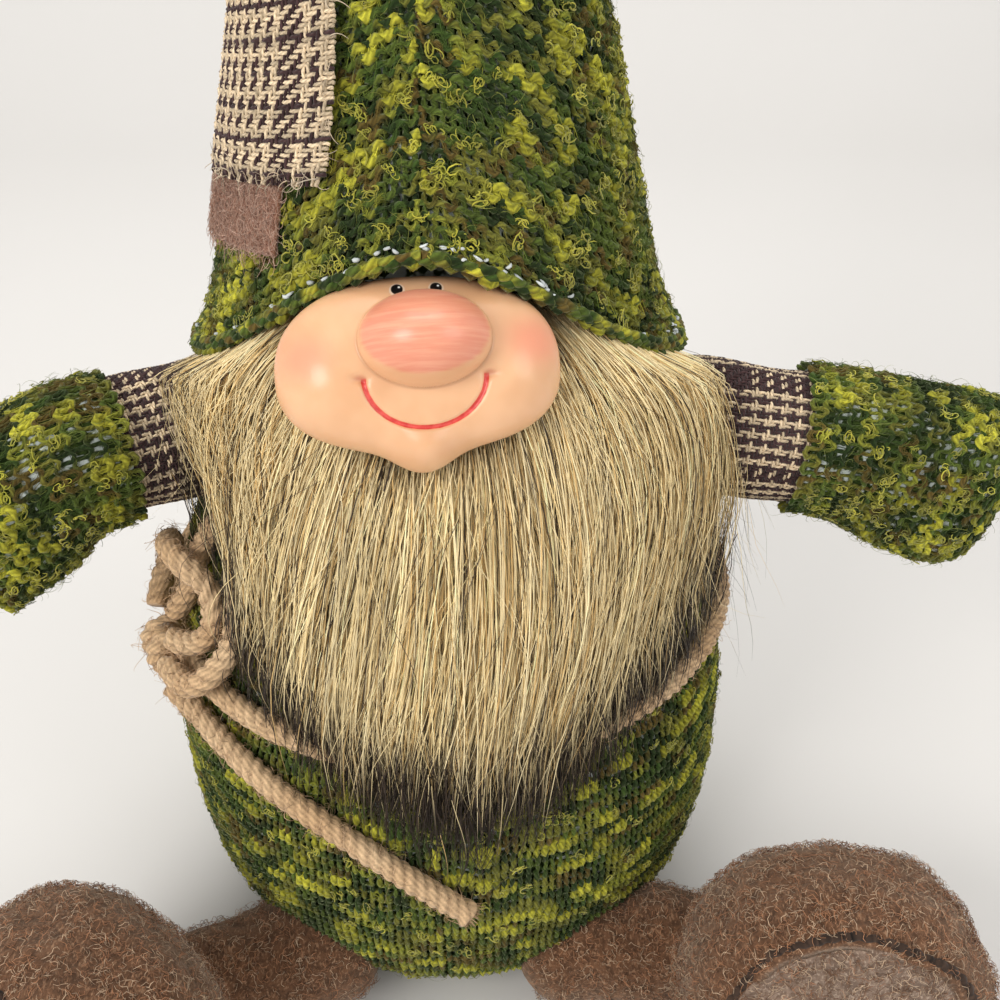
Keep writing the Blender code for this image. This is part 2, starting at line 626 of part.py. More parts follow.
# ---------------------------------------------------------------- legs and boots
def make_leg(tag, boot, az_deg, lean_deg, tall, heel, M):
    s = 1 if tag == "l" else -1
    hip = Vector((HIP.x * s, HIP.y, HIP.z))
    a, l = math.radians(az_deg), math.radians(lean_deg)
    nrm = Vector((math.sin(a), -math.cos(a), 0)) * math.cos(l) + Vector((0, 0, 1)) * math.sin(l)
    upb = Vector((0, 0, 1)) * math.cos(l) - Vector((math.sin(a), -math.cos(a), 0)) * math.sin(l)
    wid = upb.cross(nrm).normalized()

    nb = 24
    # stations from the ankle end to the sole: distance along the foot, half width, half height, drop
    rows = [(-25.0, 13.0, 13.0, -9.5), (-21.5, 20.5, 20.0, -6.5), (-13.0, 28.0, 27.0, -2.2), (-2.0, 31.6, 31.0, 0.0),
            (9.0, 31.4, 31.0, 0.0), (16.5, 28.6, 28.6, 0.0), (20.0, 25.6, 26.4, 0.0)]
    k = tall / 31.0

    def shell(off, rows, n=nb):
        out = []
        for x, rx, ry, drop in rows:
            out.append(oval(boot + nrm * x + upb * (drop * k), wid, upb, rx + off, ry * k + off, n, 2.15))
        return out

    outer = shell(0.0, rows)
    low = min(p.z for ring in outer for p in ring)
    boot = boot + Vector((0, 0, -low))
    outer = shell(0.0, rows)
    inner_rows = [(20.0, 25.6, 26.4, 0.0), (16.0, 28.2, 28.2, 0.0), (8.0, 31.2, 30.8, 0.0), (-2.0, 31.4, 30.8, 0.0),
                  (-12.5, 27.6, 26.6, -2.2), (-20.0, 20.6, 20.0, -6.0), (-23.2, 13.6, 13.4, -9.0)]
    inner = shell(-FELT, inner_rows)
    make_cup("boot_" + tag, list(reversed(outer)), inner, M["felt"])

    # the felt sole closes the boot's open face
    sole = [oval(boot + nrm * x, wid, upb, 25.6 - FELT - 0.35, 26.4 * k - FELT - 0.35, nb, 2.15) for x in (17.6, 20.2)]
    sole.append(oval(boot + nrm * 20.9, wid, upb, 21.5, 22.2 * k, nb, 2.15))
    loft("sole_" + tag, sole, M["sole"])

    fill = shell(-FELT - 0.9, [(-21.6, 14.2, 14.0, -7.6), (-12.0, 26.2, 25.2, -2.2), (-2.0, 30.0, 29.6, 0.0),
                               (8.0, 30.0, 29.6, 0.0), (14.0, 25.4, 25.8, 0.0), (17.2, 23.2, 24.0, 0.0)], 14)
    loft("boot_filling_" + tag, fill, M["fibre"])

    # leg tube from the hip to the boot: to its inner back corner, or to its heel where the boot turns far out
    n = 16
    lat = wid if wid.x * s < 0 else -wid
    if heel:
        back = -nrm
        end = boot + nrm * -26.3 + upb * (-9.0 * k)
    else:
        back = (lat * 0.75 - nrm * 0.66).normalized()
        end = boot + nrm * -17.3 + lat * 24.3 + upb * (-8.0 * k) + back * 1.3
    d, side, up = axis_frame(hip, end)
    root = [(-11.6, 6.0), (-8.4, 9.9), (-3.0, 12.8), (3.0, 13.4)]
    outer, inner = [], []
    for x, r in root:
        outer.append(oval(hip + d * x, side, up, r, r, n))
    c = hip.lerp(end, 0.6)
    e = d.lerp(-back, 0.4).normalized()
    sd = e.cross(Vector((0, 0, 1))).normalized()
    outer.append(oval(c, sd, sd.cross(e).normalized(), 13.2, 13.2, n))
    sd = (-back).cross(Vector((0, 0, 1))).normalized()
    if sd.dot(side) < 0:
        sd = -sd
    outer.append(oval(end, sd, up - back * up.dot(back), 11.6, 11.6, n))
    wallrings = []
    for ring in reversed(outer[1:]):
        c = sum(ring, Vector()) / len(ring)
        wallrings.append([c + (p - c) * (1 - 1.5 / 13.0) for p in ring])
    c0 = hip + d * -10.6
    wallrings.append(oval(c0, side, up, 6.4, 6.4, n))
    loft("leg_" + tag, outer + wallrings, M["felt"], wrap=True, origin=hip)
    fill = []
    for ring in outer[1:5]:
        c = sum(ring, Vector()) / len(ring)
        m = ring[::2] if len(ring) % 2 == 0 else ring
        fill.append([c + (p - c) * 0.80 for p in m])
    loft("leg_filling_" + tag, fill, M["fibre"])


def main():
    clear_scene()
    M = make_materials()
    make_body(M)
    make_hat(M)
    make_patches(M)
    make_face(M)
    make_beard(M)
    make_rope(M)
    make_arm("l", WRIST_L, HAND_L, M)
    make_arm("r", WRIST_R, HAND_R, M)
    make_leg("l", BOOT_L, -4.0, 16.0, 31.0, False, M)
    make_leg("r", BOOT_R, -40.0, 14.0, 28.5, True, M)


main()
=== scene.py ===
import math

import bpy
import numpy as np
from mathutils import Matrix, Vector


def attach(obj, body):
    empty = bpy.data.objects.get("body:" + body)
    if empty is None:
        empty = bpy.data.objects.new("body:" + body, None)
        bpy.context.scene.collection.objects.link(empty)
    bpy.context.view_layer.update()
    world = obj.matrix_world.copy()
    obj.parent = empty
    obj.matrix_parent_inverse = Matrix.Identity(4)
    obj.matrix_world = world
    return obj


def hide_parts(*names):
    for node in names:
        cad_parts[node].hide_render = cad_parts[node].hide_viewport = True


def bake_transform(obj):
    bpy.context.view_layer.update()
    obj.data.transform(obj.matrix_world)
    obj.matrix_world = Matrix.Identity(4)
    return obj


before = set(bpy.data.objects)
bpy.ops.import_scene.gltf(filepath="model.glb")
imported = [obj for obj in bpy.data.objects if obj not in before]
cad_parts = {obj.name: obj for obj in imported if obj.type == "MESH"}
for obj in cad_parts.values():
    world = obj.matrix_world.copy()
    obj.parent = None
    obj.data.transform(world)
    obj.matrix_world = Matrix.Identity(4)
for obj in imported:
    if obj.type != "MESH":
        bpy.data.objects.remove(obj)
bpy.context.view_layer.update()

MM = 0.001
PI = math.pi

# ------------------------------------------------------------------ design (mm)
TOP = 352.0
ROPE = 5.0
FELT = 1.6
BODY_Z = [0.4, 3, 9, 18, 32, 48, 65, 78, 85, 91, 97, 105, 120, 135, 150, 162, 172, 180, 186]
BODY_R = [35.6, 44.5, 53, 59, 63, 64.5, 64.3, 62.8, 61.2, 59.4, 58.6, 56.5, 50.5, 44.5, 39.5, 36, 30.5, 22.5, 9]
HAT_Z = [145, 150, 155, 160, 168, 184, 200, 214, 250, 300, 335, 346, 350.5, 352]
HAT_R = [51.2, 49.6, 47.0, 44.8, 42.3, 38.5, 34.8, 31.5, 23.2, 11.6, 5.6, 4.4, 2.6, 0.6]
LEAN = (-7.0, 5.0)
SHOULDER = {"l": np.array([48.5, -4.0, 131.5]), "r": np.array([-48.5, -4.0, 131.5])}
WRIST = {"l": np.array([77.0, -7.0, 129.0]), "r": np.array([-68.5, -16.5, 132.0])}
HAND = {"l": np.array([115.0, -9.5, 118.5]), "r": np.array([-97.5, -31.0, 120.0])}
ARM_R = 13.6
HIP = {"l": np.array([27.0, -50.0, 15.6]), "r": np.array([-27.0, -50.0, 15.6])}
BOOT = {"l": (np.array([82.0, -70.0, 30.0]), -4.0, 16.0, 31.0), "r": (np.array([-73.0, -80.0, 27.0]), -40.0, 14.0, 28.5)}
FACE_AT = np.array([-1.2, -48.6, 168.2])
FACE_TILT, FACE_YAW = math.radians(34.0), math.radians(6.0)
KNOT_AZ = -64.0


# ------------------------------------------------------------------ camera
scene = bpy.context.scene
cam_data = bpy.data.cameras.new("camera")
cam = bpy.data.objects.new("camera", cam_data)
scene.collection.objects.link(cam)
cam.location = (0.012, -0.221, 0.263)
cam.rotation_euler = (math.radians(55.0), 0, 0)
cam_data.lens = 43.2
cam_data.sensor_width = 36.0
cam_data.clip_start = 0.005
scene.camera = cam


# ------------------------------------------------------------------ number helpers
def table(xs, ys, n=1600):
    """Monotone cubic through a table, read as a fast lookup."""
    xs, ys = np.asarray(xs, float), np.asarray(ys, float)
    h = np.diff(xs)
    d = np.diff(ys) / h
    m = np.zeros(len(xs))
    m[0], m[-1] = d[0], d[-1]
    for i in range(1, len(xs) - 1):
        if d[i - 1] * d[i] > 0:
            w1, w2 = 2 * h[i] + h[i - 1], h[i] + 2 * h[i - 1]
            m[i] = (w1 + w2) / (w1 / d[i - 1] + w2 / d[i])
    x = np.linspace(xs[0], xs[-1], n)
    i = np.clip(np.searchsorted(xs, x) - 1, 0, len(h) - 1)
    t = (x - xs[i]) / h[i]
    y = ((2 * t**3 - 3 * t**2 + 1) * ys[i] + (t**3 - 2 * t**2 + t) * h[i] * m[i]
         + (-2 * t**3 + 3 * t**2) * ys[i + 1] + (t**3 - t**2) * h[i] * m[i + 1])
    return lambda q: np.interp(q, x, y)


body_r = table(BODY_Z, BODY_R)
hat_r = table(HAT_Z, HAT_R)


def step(a, b, x):
    t = np.clip((np.asarray(x, float) - a) / (b - a), 0, 1)
    return t * t * (3 - 2 * t)


def unit(v):
    return v / np.maximum(1e-12, np.linalg.norm(v, axis=-1, keepdims=True))


def vec(x, y, z):
    x, y, z = np.broadcast_arrays(x, y, z)
    return np.stack([x, y, z], axis=-1).astype(float)


def wrap(a):
    return (np.asarray(a) + PI) % (2 * PI) - PI


def hem_z(a):
    a = wrap(a)
    return 147.0 + 36.0 * np.exp(-a * a) + 1.9 * np.exp(-((a / 0.26) ** 2))


def hat_point(a, z, off):
    a = wrap(a)
    lean = np.maximum(0.0, (z - 205.0) / (TOP - 205.0)) ** 1.4
    lip = 5.6 * np.exp(-((a / 0.62) ** 2)) * (1 - step(182.0, 212.0, z))
    r = np.maximum(0.25, hat_r(z) + lip + off)
    return vec(-0.5 + r * np.sin(a) + LEAN[0] * lean, -r * np.cos(a) + LEAN[1] * lean, z)


def hat_row(a, v, off):
    """The hat by course height v: courses follow the hem's arch near the hem and level out above."""
    s = np.clip((v - 147.0) / 205.0, 0, 1)
    z = v + (hem_z(a) - 147.0) * (1 - s) ** 1.6
    return hat_point(a, z, off)


def body_point(az, z, off):
    a = np.radians(az)
    r = body_r(z) + off
    return vec(r * np.sin(a), -r * np.cos(a), z)


# the body's profile by length along it
_z = np.linspace(0.9, 186, 2400)
_r = body_r(_z)
_s = np.concatenate([[0], np.cumsum(np.hypot(np.diff(_r), np.diff(_z)))])
BODY_LEN = _s[-1]


def body_surf(a, s, off):
    r, z = np.interp(s, _s, _r), np.interp(s, _s, _z)
    e = 1.0
    dr = np.interp(s + e, _s, _r) - np.interp(s - e, _s, _r)
    dz = np.interp(s + e, _s, _z) - np.interp(s - e, _s, _z)
    ln = np.maximum(1e-9, np.hypot(dr, dz))
    rr = r + off * dz / ln
    return vec(rr * np.sin(a), -rr * np.cos(a), z - off * dr / ln)


def smooth_noise(rng, n, knots):
    """One smooth random run of n values in -1..1 with the given number of knots."""
    k = rng.uniform(-1, 1, knots + 3)
    x = np.linspace(0, knots, n)
    i = x.astype(int)
    t = x - i
    t = t * t * (3 - 2 * t)
    return k[i] * (1 - t) + k[i + 1] * t


def fnoise(p, scale, seed=0):
    """Cheap smooth noise of position from a few rotated sines, about -1..1."""
    rng = np.random.default_rng(seed)
    out = 0
    for _ in range(7):
        w = rng.normal(size=3)
        w *= rng.uniform(0.6, 1.5) / np.linalg.norm(w) / scale * 2 * PI
        out = out + np.sin(p @ w + rng.uniform(0, 6.28))
    return out / 3.2


# ------------------------------------------------------------------ mesh helpers
def link(ob):
    scene.collection.objects.link(ob)
    return ob


def mesh_object(name, V, faces, mat, smooth=True, col=None, uv=None, yarn=None):
    """faces: list of integer arrays (m, k), one per polygon size. uv: list of (m, k, 2) arrays likewise."""
    me = bpy.data.meshes.new(name)
    V = np.asarray(V, float)
    me.vertices.add(len(V))
    me.vertices.foreach_set("co", (V * MM).astype(np.float32).ravel())
    faces = [f for f in faces if len(f)]
    loops = np.concatenate([f.ravel() for f in faces]).astype(np.int32)
    sizes = np.concatenate([np.full(len(f), f.shape[1]) for f in faces]).astype(np.int32)
    me.loops.add(len(loops))
    me.loops.foreach_set("vertex_index", loops)
    me.polygons.add(len(sizes))
    starts = np.concatenate([[0], np.cumsum(sizes)[:-1]]).astype(np.int32)
    me.polygons.foreach_set("loop_start", starts)
    me.polygons.foreach_set("use_smooth", np.full(len(sizes), smooth))
    me.update(calc_edges=True)
    if col is not None:
        c = np.concatenate([np.clip(col, 0, 1), np.ones((len(col), 1))], axis=1).astype(np.float32)
        at = me.color_attributes.new("Tint", "FLOAT_COLOR", "POINT")
        at.data.foreach_set("color", c.ravel())
    if yarn is not None:
        at = me.attributes.new("Yarn", "FLOAT_VECTOR", "POINT")
        at.data.foreach_set("vector", np.asarray(yarn, np.float32).ravel())
    if uv is not None:
        u = np.concatenate([x.reshape(-1, 2) for x in uv]).astype(np.float32)
        lay = me.uv_layers.new(name="OFBake")
        lay.data.foreach_set("uv", u.ravel())
    me.validate(verbose=False)
    me.materials.append(mat)
    return link(bpy.data.objects.new(name, me))


def grid_faces(nu, nv, closed_u=False, flip=False):
    """Quads over a grid of verts indexed u * nv + v."""
    iu = np.arange(nu if closed_u else nu - 1)
    iv = np.arange(nv - 1)
    a = (iu[:, None] * nv + iv[None, :]).ravel()
    b = (((iu + 1) % nu)[:, None] * nv + iv[None, :]).ravel()
    q = np.stack([a, b, b + 1, a + 1], axis=1)
    return q[:, ::-1] if flip else q


def tubes(groups, n=3, wide=1.0):
    """Strands as closed tubes. groups: list of (P (S,K,3), R (S,K), C (S,K,3), ref (S,K,3) or (3,)) in mm."""
    Vs, Cs, Ys, Q, U, capS, capU = [], [], [], [], [], [], []
    base = 0
    total = sum(g[0].shape[0] for g in groups)
    per = [g[0].shape[0] * g[0].shape[1] for g in groups]
    cell = 0
    K0 = max(g[0].shape[1] for g in groups)
    long_rows = K0 > 60
    cols = 1 if long_rows else max(1, int(math.sqrt(total * 5)))
    rows = math.ceil(total / cols)
    ang = PI + 2 * PI * np.arange(n) / n
    ca, sa = np.cos(ang), np.sin(ang)
    for P, R, C, ref in groups:
        S, K, _ = P.shape
        T = unit(np.gradient(P, axis=1))
        ref = np.broadcast_to(ref, P.shape)
        N = ref - (ref * T).sum(-1, keepdims=True) * T
        N = unit(N)
        W = np.cross(T, N)
        ring = (P[:, :, None, :] + R[:, :, None, None] * (ca[None, None, :, None] * N[:, :, None, :]
                + wide * sa[None, None, :, None] * W[:, :, None, :]))
        Vs.append(ring.reshape(-1, 3))
        Cs.append(np.repeat(C.reshape(-1, 3), n, axis=0))
        run = np.concatenate([np.zeros((S, 1)), np.cumsum(np.linalg.norm(np.diff(P, axis=1), axis=-1), axis=1)], axis=1)
        y = np.zeros((S, K, n, 3))
        y[..., 0] = run[:, :, None]
        y[..., 1] = ang[None, None, :]
        Ys.append(y.reshape(-1, 3))
        s, k, j = np.meshgrid(np.arange(S), np.arange(K - 1), np.arange(n), indexing="ij")
        a = base + (s * K + k) * n + j
        b = base + (s * K + k) * n + (j + 1) % n
        Q.append(np.stack([a, b, b + n, a + n], axis=-1).reshape(-1, 4))
        cid = cell + s
        cu, cv = (cid % cols).astype(float), (cid // cols).astype(float)
        if long_rows:
            u0, u1 = k / (K - 1), (k + 1) / (K - 1)
            v0, v1 = (cid + 0.15 + 0.7 * j / n) / rows, (cid + 0.15 + 0.7 * (j + 1) / n) / rows
            u = np.stack([np.stack([u0, v0], -1), np.stack([u0, v1], -1), np.stack([u1, v1], -1), np.stack([u1, v0], -1)], axis=-2)
        else:
            u0, u1 = (cu + 0.15 + 0.7 * j / n) / cols, (cu + 0.15 + 0.7 * (j + 1) / n) / cols
            v0, v1 = (cv + 0.1 + 0.8 * k / (K - 1)) / rows, (cv + 0.1 + 0.8 * (k + 1) / (K - 1)) / rows
            u = np.stack([np.stack([u0, v0], -1), np.stack([u1, v0], -1), np.stack([u1, v1], -1), np.stack([u0, v1], -1)], axis=-2)
        U.append(u.reshape(-1, 4, 2))
        st = base + (np.arange(S)[:, None] * K) * n + np.arange(n)[None, ::-1]
        en = base + (np.arange(S)[:, None] * K + K - 1) * n + np.arange(n)[None, :]
        capS += [st, en]
        c = cell + np.arange(S)
        for end in (0.02, 0.98):
            if long_rows:
                p = np.stack([np.full(S, end), (c + 0.5) / rows], -1)
            else:
                p = np.stack([((c % cols) + 0.5) / cols, ((c // cols) + 0.1 + 0.8 * end) / rows], -1)
            capU.append(np.repeat(p[:, None, :], n, axis=1))
        base += S * K * n
        cell += S
    caps = np.concatenate(capS)
    return (np.concatenate(Vs), [np.concatenate(Q), caps], np.concatenate(Cs), [np.concatenate(U), np.concatenate(capU)],
            np.concatenate(Ys))


def strand_object(name, groups, mat, body, n=3, wide=1.0):
    V, F, C, U, Y = tubes(groups, n, wide)
    ob = mesh_object(name, V, F, mat, col=C, uv=U, yarn=Y)
    if body:
        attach(ob, body)
    return ob


def place(ob, body, slot, *replaces):
    if body:
        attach(ob, body)
    if replaces:
        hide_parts(*replaces)
    return ob


# ------------------------------------------------------------------ material helpers
class Mat:
    def __init__(self, name, rough=0.9, spec=0.25, sheen=0.0, sheen_rough=0.5, sheen_tint=(1, 1, 1), coat=0.0, coat_rough=0.1, sss=0.0,
                 sss_radius=(1.0, 0.4, 0.2), sss_scale=0.002):
        self.m = bpy.data.materials.new(name)
        self.m.use_nodes = True
        self.t = self.m.node_tree
        self.p = self.t.nodes["Principled BSDF"]
        q = self.p.inputs
        q["Roughness"].default_value = rough
        q["Specular IOR Level"].default_value = spec
        if sheen:
            q["Sheen Weight"].default_value = sheen
            q["Sheen Roughness"].default_value = sheen_rough
            q["Sheen Tint"].default_value = (*sheen_tint, 1)
        if coat:
            q["Coat Weight"].default_value = coat
            q["Coat Roughness"].default_value = coat_rough
        if sss:
            q["Subsurface Weight"].default_value = sss
            q["Subsurface Radius"].default_value = sss_radius
            q["Subsurface Scale"].default_value = sss_scale

    def node(self, kind, **kw):
        n = self.t.nodes.new(kind)
        for k, v in kw.items():
            setattr(n, k, v)
        return n

    def put(self, sock, v):
        if isinstance(v, bpy.types.NodeSocket):
            self.t.links.new(v, sock)
        elif isinstance(v, tuple) and len(v) == 3 and sock.type == "RGBA":
            sock.default_value = (*v, 1)
        else:
            sock.default_value = v

    def math(self, op, a, b=None, c=None, clamp=False):
        n = self.node("ShaderNodeMath", operation=op, use_clamp=clamp)
        self.put(n.inputs[0], a)
        if b is not None:
            self.put(n.inputs[1], b)
        if c is not None:
            self.put(n.inputs[2], c)
        return n.outputs[0]

    def mix(self, fac, a, b, mode="MIX"):
        n = self.node("ShaderNodeMix", data_type="RGBA", blend_type=mode)
        self.put(n.inputs[0], fac)
        self.put(n.inputs[6], a)
        self.put(n.inputs[7], b)
        return n.outputs[2]

    def coords(self):
        return self.node("ShaderNodeTexCoord").outputs["Object"]

    def noise(self, scale, detail=3.0, rough=0.55, vector=None, stretch=None):
        v = vector or self.coords()
        if stretch:
            mp = self.node("ShaderNodeMapping")
            mp.inputs["Scale"].default_value = stretch
            self.put(mp.inputs["Vector"], v)
            v = mp.outputs[0]
        n = self.node("ShaderNodeTexNoise")
        self.put(n.inputs["Vector"], v)
        n.inputs["Scale"].default_value = scale
        n.inputs["Detail"].default_value = detail
        n.inputs["Roughness"].default_value = rough
        return n.outputs[0]

    def band(self, x, a, b, lo=0.0, hi=1.0):
        n = self.node("ShaderNodeMapRange", interpolation_type="SMOOTHSTEP")
        self.put(n.inputs[0], x)
        for i, v in enumerate((a, b, lo, hi)):
            n.inputs[i + 1].default_value = v
        return n.outputs[0]

    def attr(self, name, out="Color"):
        return self.node("ShaderNodeAttribute", attribute_name=name, attribute_type="GEOMETRY").outputs[out]

    def split(self, v):
        n = self.node("ShaderNodeSeparateXYZ")
        self.put(n.inputs[0], v)
        return n.outputs

    def colour(self, c):
        self.put(self.p.inputs["Base Color"], c)

    def bump(self, h, strength=0.4, dist=0.0003):
        n = self.node("ShaderNodeBump")
        n.inputs["Strength"].default_value = strength
        n.inputs["Distance"].default_value = dist
        self.put(n.inputs["Height"], h)
        self.t.links.new(n.outputs[0], self.p.inputs["Normal"])


def yarn_mat(name, twist, plies, grain, contrast, bump, **kw):
    """Spun yarn: the strand's own tint, darkened in the grooves of its twist as painted shade, with fibre grain along
    it.
    """
    m = Mat(name, **kw)
    tint = m.attr("Tint")
    y = m.split(m.attr("Yarn", "Vector"))
    ph = m.math("MULTIPLY_ADD", y[0], twist, m.math("MULTIPLY", y[1], float(plies)))
    # painted shade: the twist's grooves darken the tint
    groove = m.math("MULTIPLY_ADD", m.math("SINE", ph), 0.5, 0.5)
    g = m.noise(grain, 2.0, 0.6)
    shade = m.math("ADD", m.math("MULTIPLY_ADD", groove, contrast, 1.0 - contrast * 0.55), m.math("MULTIPLY_ADD", g, 0.8, -0.4))
    n = m.node("ShaderNodeMix", data_type="RGBA", blend_type="MULTIPLY")
    n.inputs[0].default_value = 1.0
    m.put(n.inputs[6], tint)
    cmb = m.node("ShaderNodeCombineColor")
    for i in range(3):
        m.put(cmb.inputs[i], shade)
    m.put(n.inputs[7], cmb.outputs[0])
    m.colour(n.outputs[2])
    if bump:
        m.bump(groove, bump, 0.0003)
    return m.m


def fibre_mat(name, grain=900.0, amount=0.5, **kw):
    """Thin hairs and fibres: the strand's own tint with a slow change along it."""
    m = Mat(name, **kw)
    tint = m.attr("Tint")
    g = m.noise(grain, 1.0, 0.5)
    cmb = m.node("ShaderNodeCombineColor")
    s = m.math("MULTIPLY_ADD", g, amount, 1.0 - amount / 2)
    for i in range(3):
        m.put(cmb.inputs[i], s)
    m.colour(m.mix(1.0, tint, cmb.outputs[0], "MULTIPLY"))
    return m.m


def ground_mat(name, dark, mid, light, share, scale, **kw):
    """The dark ground seen between stitches or fibres, its dark tones painted shade for those gaps, with a few pale
    flecks of what is behind.
    """
    m = Mat(name, **kw)
    a = m.noise(scale, 3.0, 0.6)
    b = m.noise(scale * 0.55, 2.0, 0.5)
    c = m.mix(m.band(a, 0.35, 0.65), dark, mid)
    m.colour(m.mix(m.band(b, share - 0.03, share + 0.03), c, light))
    m.bump(a, 0.6, 0.0006)
    return m.m


def cloth_mat(name, a, b, pitch, **kw):
    """Plain woven cloth: crossing threads in two close shades."""
    m = Mat(name, **kw)
    x = m.split(m.coords())
    k = 2 * PI / pitch
    w = m.math("MULTIPLY", m.math("SINE", m.math("MULTIPLY", x[2], k)),
               m.math("SINE", m.math("MULTIPLY", m.math("ADD", x[0], x[1]), k)))
    f = m.math("MULTIPLY_ADD", w, 0.4, m.noise(900, 3.0, 0.6), clamp=True)
    m.colour(m.mix(f, a, b))
    m.bump(w, 0.5, 0.0002)
    return m.m


M_KNIT = yarn_mat("green_knit_yarn", 4.2, 3, 2600.0, 0.55, 0.5, rough=0.92, spec=0.15, sheen=0.25, sheen_rough=0.45, sheen_tint=(0.8, 0.9, 0.5))
M_CURL = fibre_mat("lime_boucle", 1500.0, 0.5, rough=0.75, spec=0.3, sheen=0.2)
M_FUZZ = fibre_mat("knit_fuzz", 1200.0, 0.4, rough=0.8, spec=0.25)
# knit ground: the shell under the stitches, dark green as painted shade in the gaps between them, with pale flecks of
# the white lining behind
M_KNIT_GROUND_SHADE = ground_mat("knit_ground_painted_shade", (0.012, 0.022, 0.004), (0.035, 0.055, 0.012), (0.50, 0.55, 0.52), 0.555, 520.0, rough=0.95, spec=0.1)
M_WHITE = fibre_mat("white_hem_lining", 1300.0, 0.35, rough=0.85, spec=0.2)
M_HAIR = fibre_mat("beard_hair", 260.0, 0.45, rough=0.5, spec=0.32)
# beard underfur: a sheet under the locks whose dark tan tones are painted shade between them
M_UNDERFUR_SHADE = ground_mat("beard_underfur_painted_shade", (0.24, 0.165, 0.07), (0.48, 0.35, 0.17), (0.60, 0.46, 0.26), 0.52, 700.0, rough=0.8, spec=0.1)
M_ROPE = yarn_mat("rope_yarn", 9.0, 14, 2200.0, 0.30, 0.35, rough=0.9, spec=0.15, sheen=0.15)
M_ROPEFUZZ = fibre_mat("rope_fuzz", 1200.0, 0.4, rough=0.8, spec=0.2)
M_TWEED = yarn_mat("tweed_thread", 6.0, 2, 2600.0, 0.35, 0.3, rough=0.92, spec=0.15, sheen=0.15)
M_TWEEDGROUND = ground_mat("tweed_ground", (0.03, 0.02, 0.02), (0.09, 0.06, 0.05), (0.25, 0.19, 0.13), 0.64, 900.0, rough=0.95, spec=0.1)
M_FELTFIBRE = fibre_mat("felt_fibre", 700.0, 0.5, rough=0.85, spec=0.2, sheen=0.1)


def felt_mat(name, dark, mid, light, **kw):
    m = Mat(name, **kw)
    a = m.noise(520.0, 4.0, 0.65)
    b = m.noise(90.0, 2.0, 0.5)
    c = m.noise(1800.0, 2.0, 0.6, stretch=(1, 0.35, 1))
    col = m.mix(m.band(a, 0.36, 0.62), dark, mid)
    col = m.mix(m.band(c, 0.52, 0.70, 0, 0.8), col, light)
    m.colour(m.mix(m.band(b, 0.3, 0.7, 0, 0.35), col, tuple(x * 0.55 for x in mid)))
    m.bump(a, 0.8, 0.0006)
    return m.m


M_FELT = felt_mat("brown_felt_ground", (0.055, 0.024, 0.012), (0.135, 0.062, 0.031), (0.33, 0.19, 0.11), rough=0.97, spec=0.08, sheen=0.35,
                  sheen_rough=0.6, sheen_tint=(0.85, 0.7, 0.55))
M_SOLE = felt_mat("grey_felt_ground", (0.12, 0.075, 0.052), (0.24, 0.165, 0.12), (0.44, 0.34, 0.26), rough=0.97, spec=0.08, sheen=0.35,
                  sheen_rough=0.6, sheen_tint=(0.8, 0.75, 0.7))
M_PATCHFELT = felt_mat("reddish_felt_ground", (0.15, 0.06, 0.035), (0.27, 0.125, 0.075), (0.50, 0.34, 0.26), rough=0.97, spec=0.08, sheen=0.3)

# CAD nodes that stay: linings, fillings, pellet bag, base board, fur backing
M_LINING = cloth_mat("lining_cloth", (0.60, 0.62, 0.58), (0.74, 0.76, 0.72), 0.0009, rough=0.9, spec=0.15)
M_BAG = cloth_mat("bag_cloth", (0.44, 0.42, 0.36), (0.58, 0.56, 0.50), 0.0012, rough=0.9, spec=0.15)
M_BACKING = cloth_mat("backing_cloth", (0.28, 0.23, 0.14), (0.40, 0.34, 0.22), 0.0011, rough=0.95, spec=0.1)
M_FILL = ground_mat("polyester_fibre", (0.62, 0.62, 0.60), (0.78, 0.78, 0.76), (0.9, 0.9, 0.88), 0.6, 600.0, rough=1.0, spec=0.1)
M_BOARD = cloth_mat("base_board_cloth", (0.05, 0.065, 0.02), (0.10, 0.12, 0.045), 0.0013, rough=0.95, spec=0.1)
for node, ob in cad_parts.items():
    m = (M_LINING if node.endswith("lining") else M_FILL if "filling" in node else M_BAG if node == "pellet_bag" else
         M_BOARD if node == "base_disc" else M_BACKING if node == "beard_backing" else None)
    if m:
        for s in ob.material_slots:
            s.material = m


# ------------------------------------------------------------------ rope
def smooth_run(route, spacing):
    P = [Vector(p) for p in route]
    P = [P[0] * 2 - P[1]] + P + [P[-1] * 2 - P[-2]]
    fine = []
    for i in range(1, len(P) - 2):
        for k in range(16):
            t = k / 16
            a, b, c, d = P[i - 1], P[i], P[i + 1], P[i + 2]
            fine.append(0.5 * ((2 * b) + (c - a) * t + (2 * a - 5 * b + 4 * c - d) * t * t + (3 * b - a - 3 * c + d) * t**3))
    fine.append(P[-2])
    F = np.array([tuple(p) for p in fine])
    run = np.concatenate([[0], np.cumsum(np.linalg.norm(np.diff(F, axis=0), axis=1))])
    n = max(3, int(round(run[-1] / spacing)))
    s = np.linspace(0, run[-1], n + 1)
    return np.stack([np.interp(s, run, F[:, i]) for i in range(3)], axis=1), run[-1]


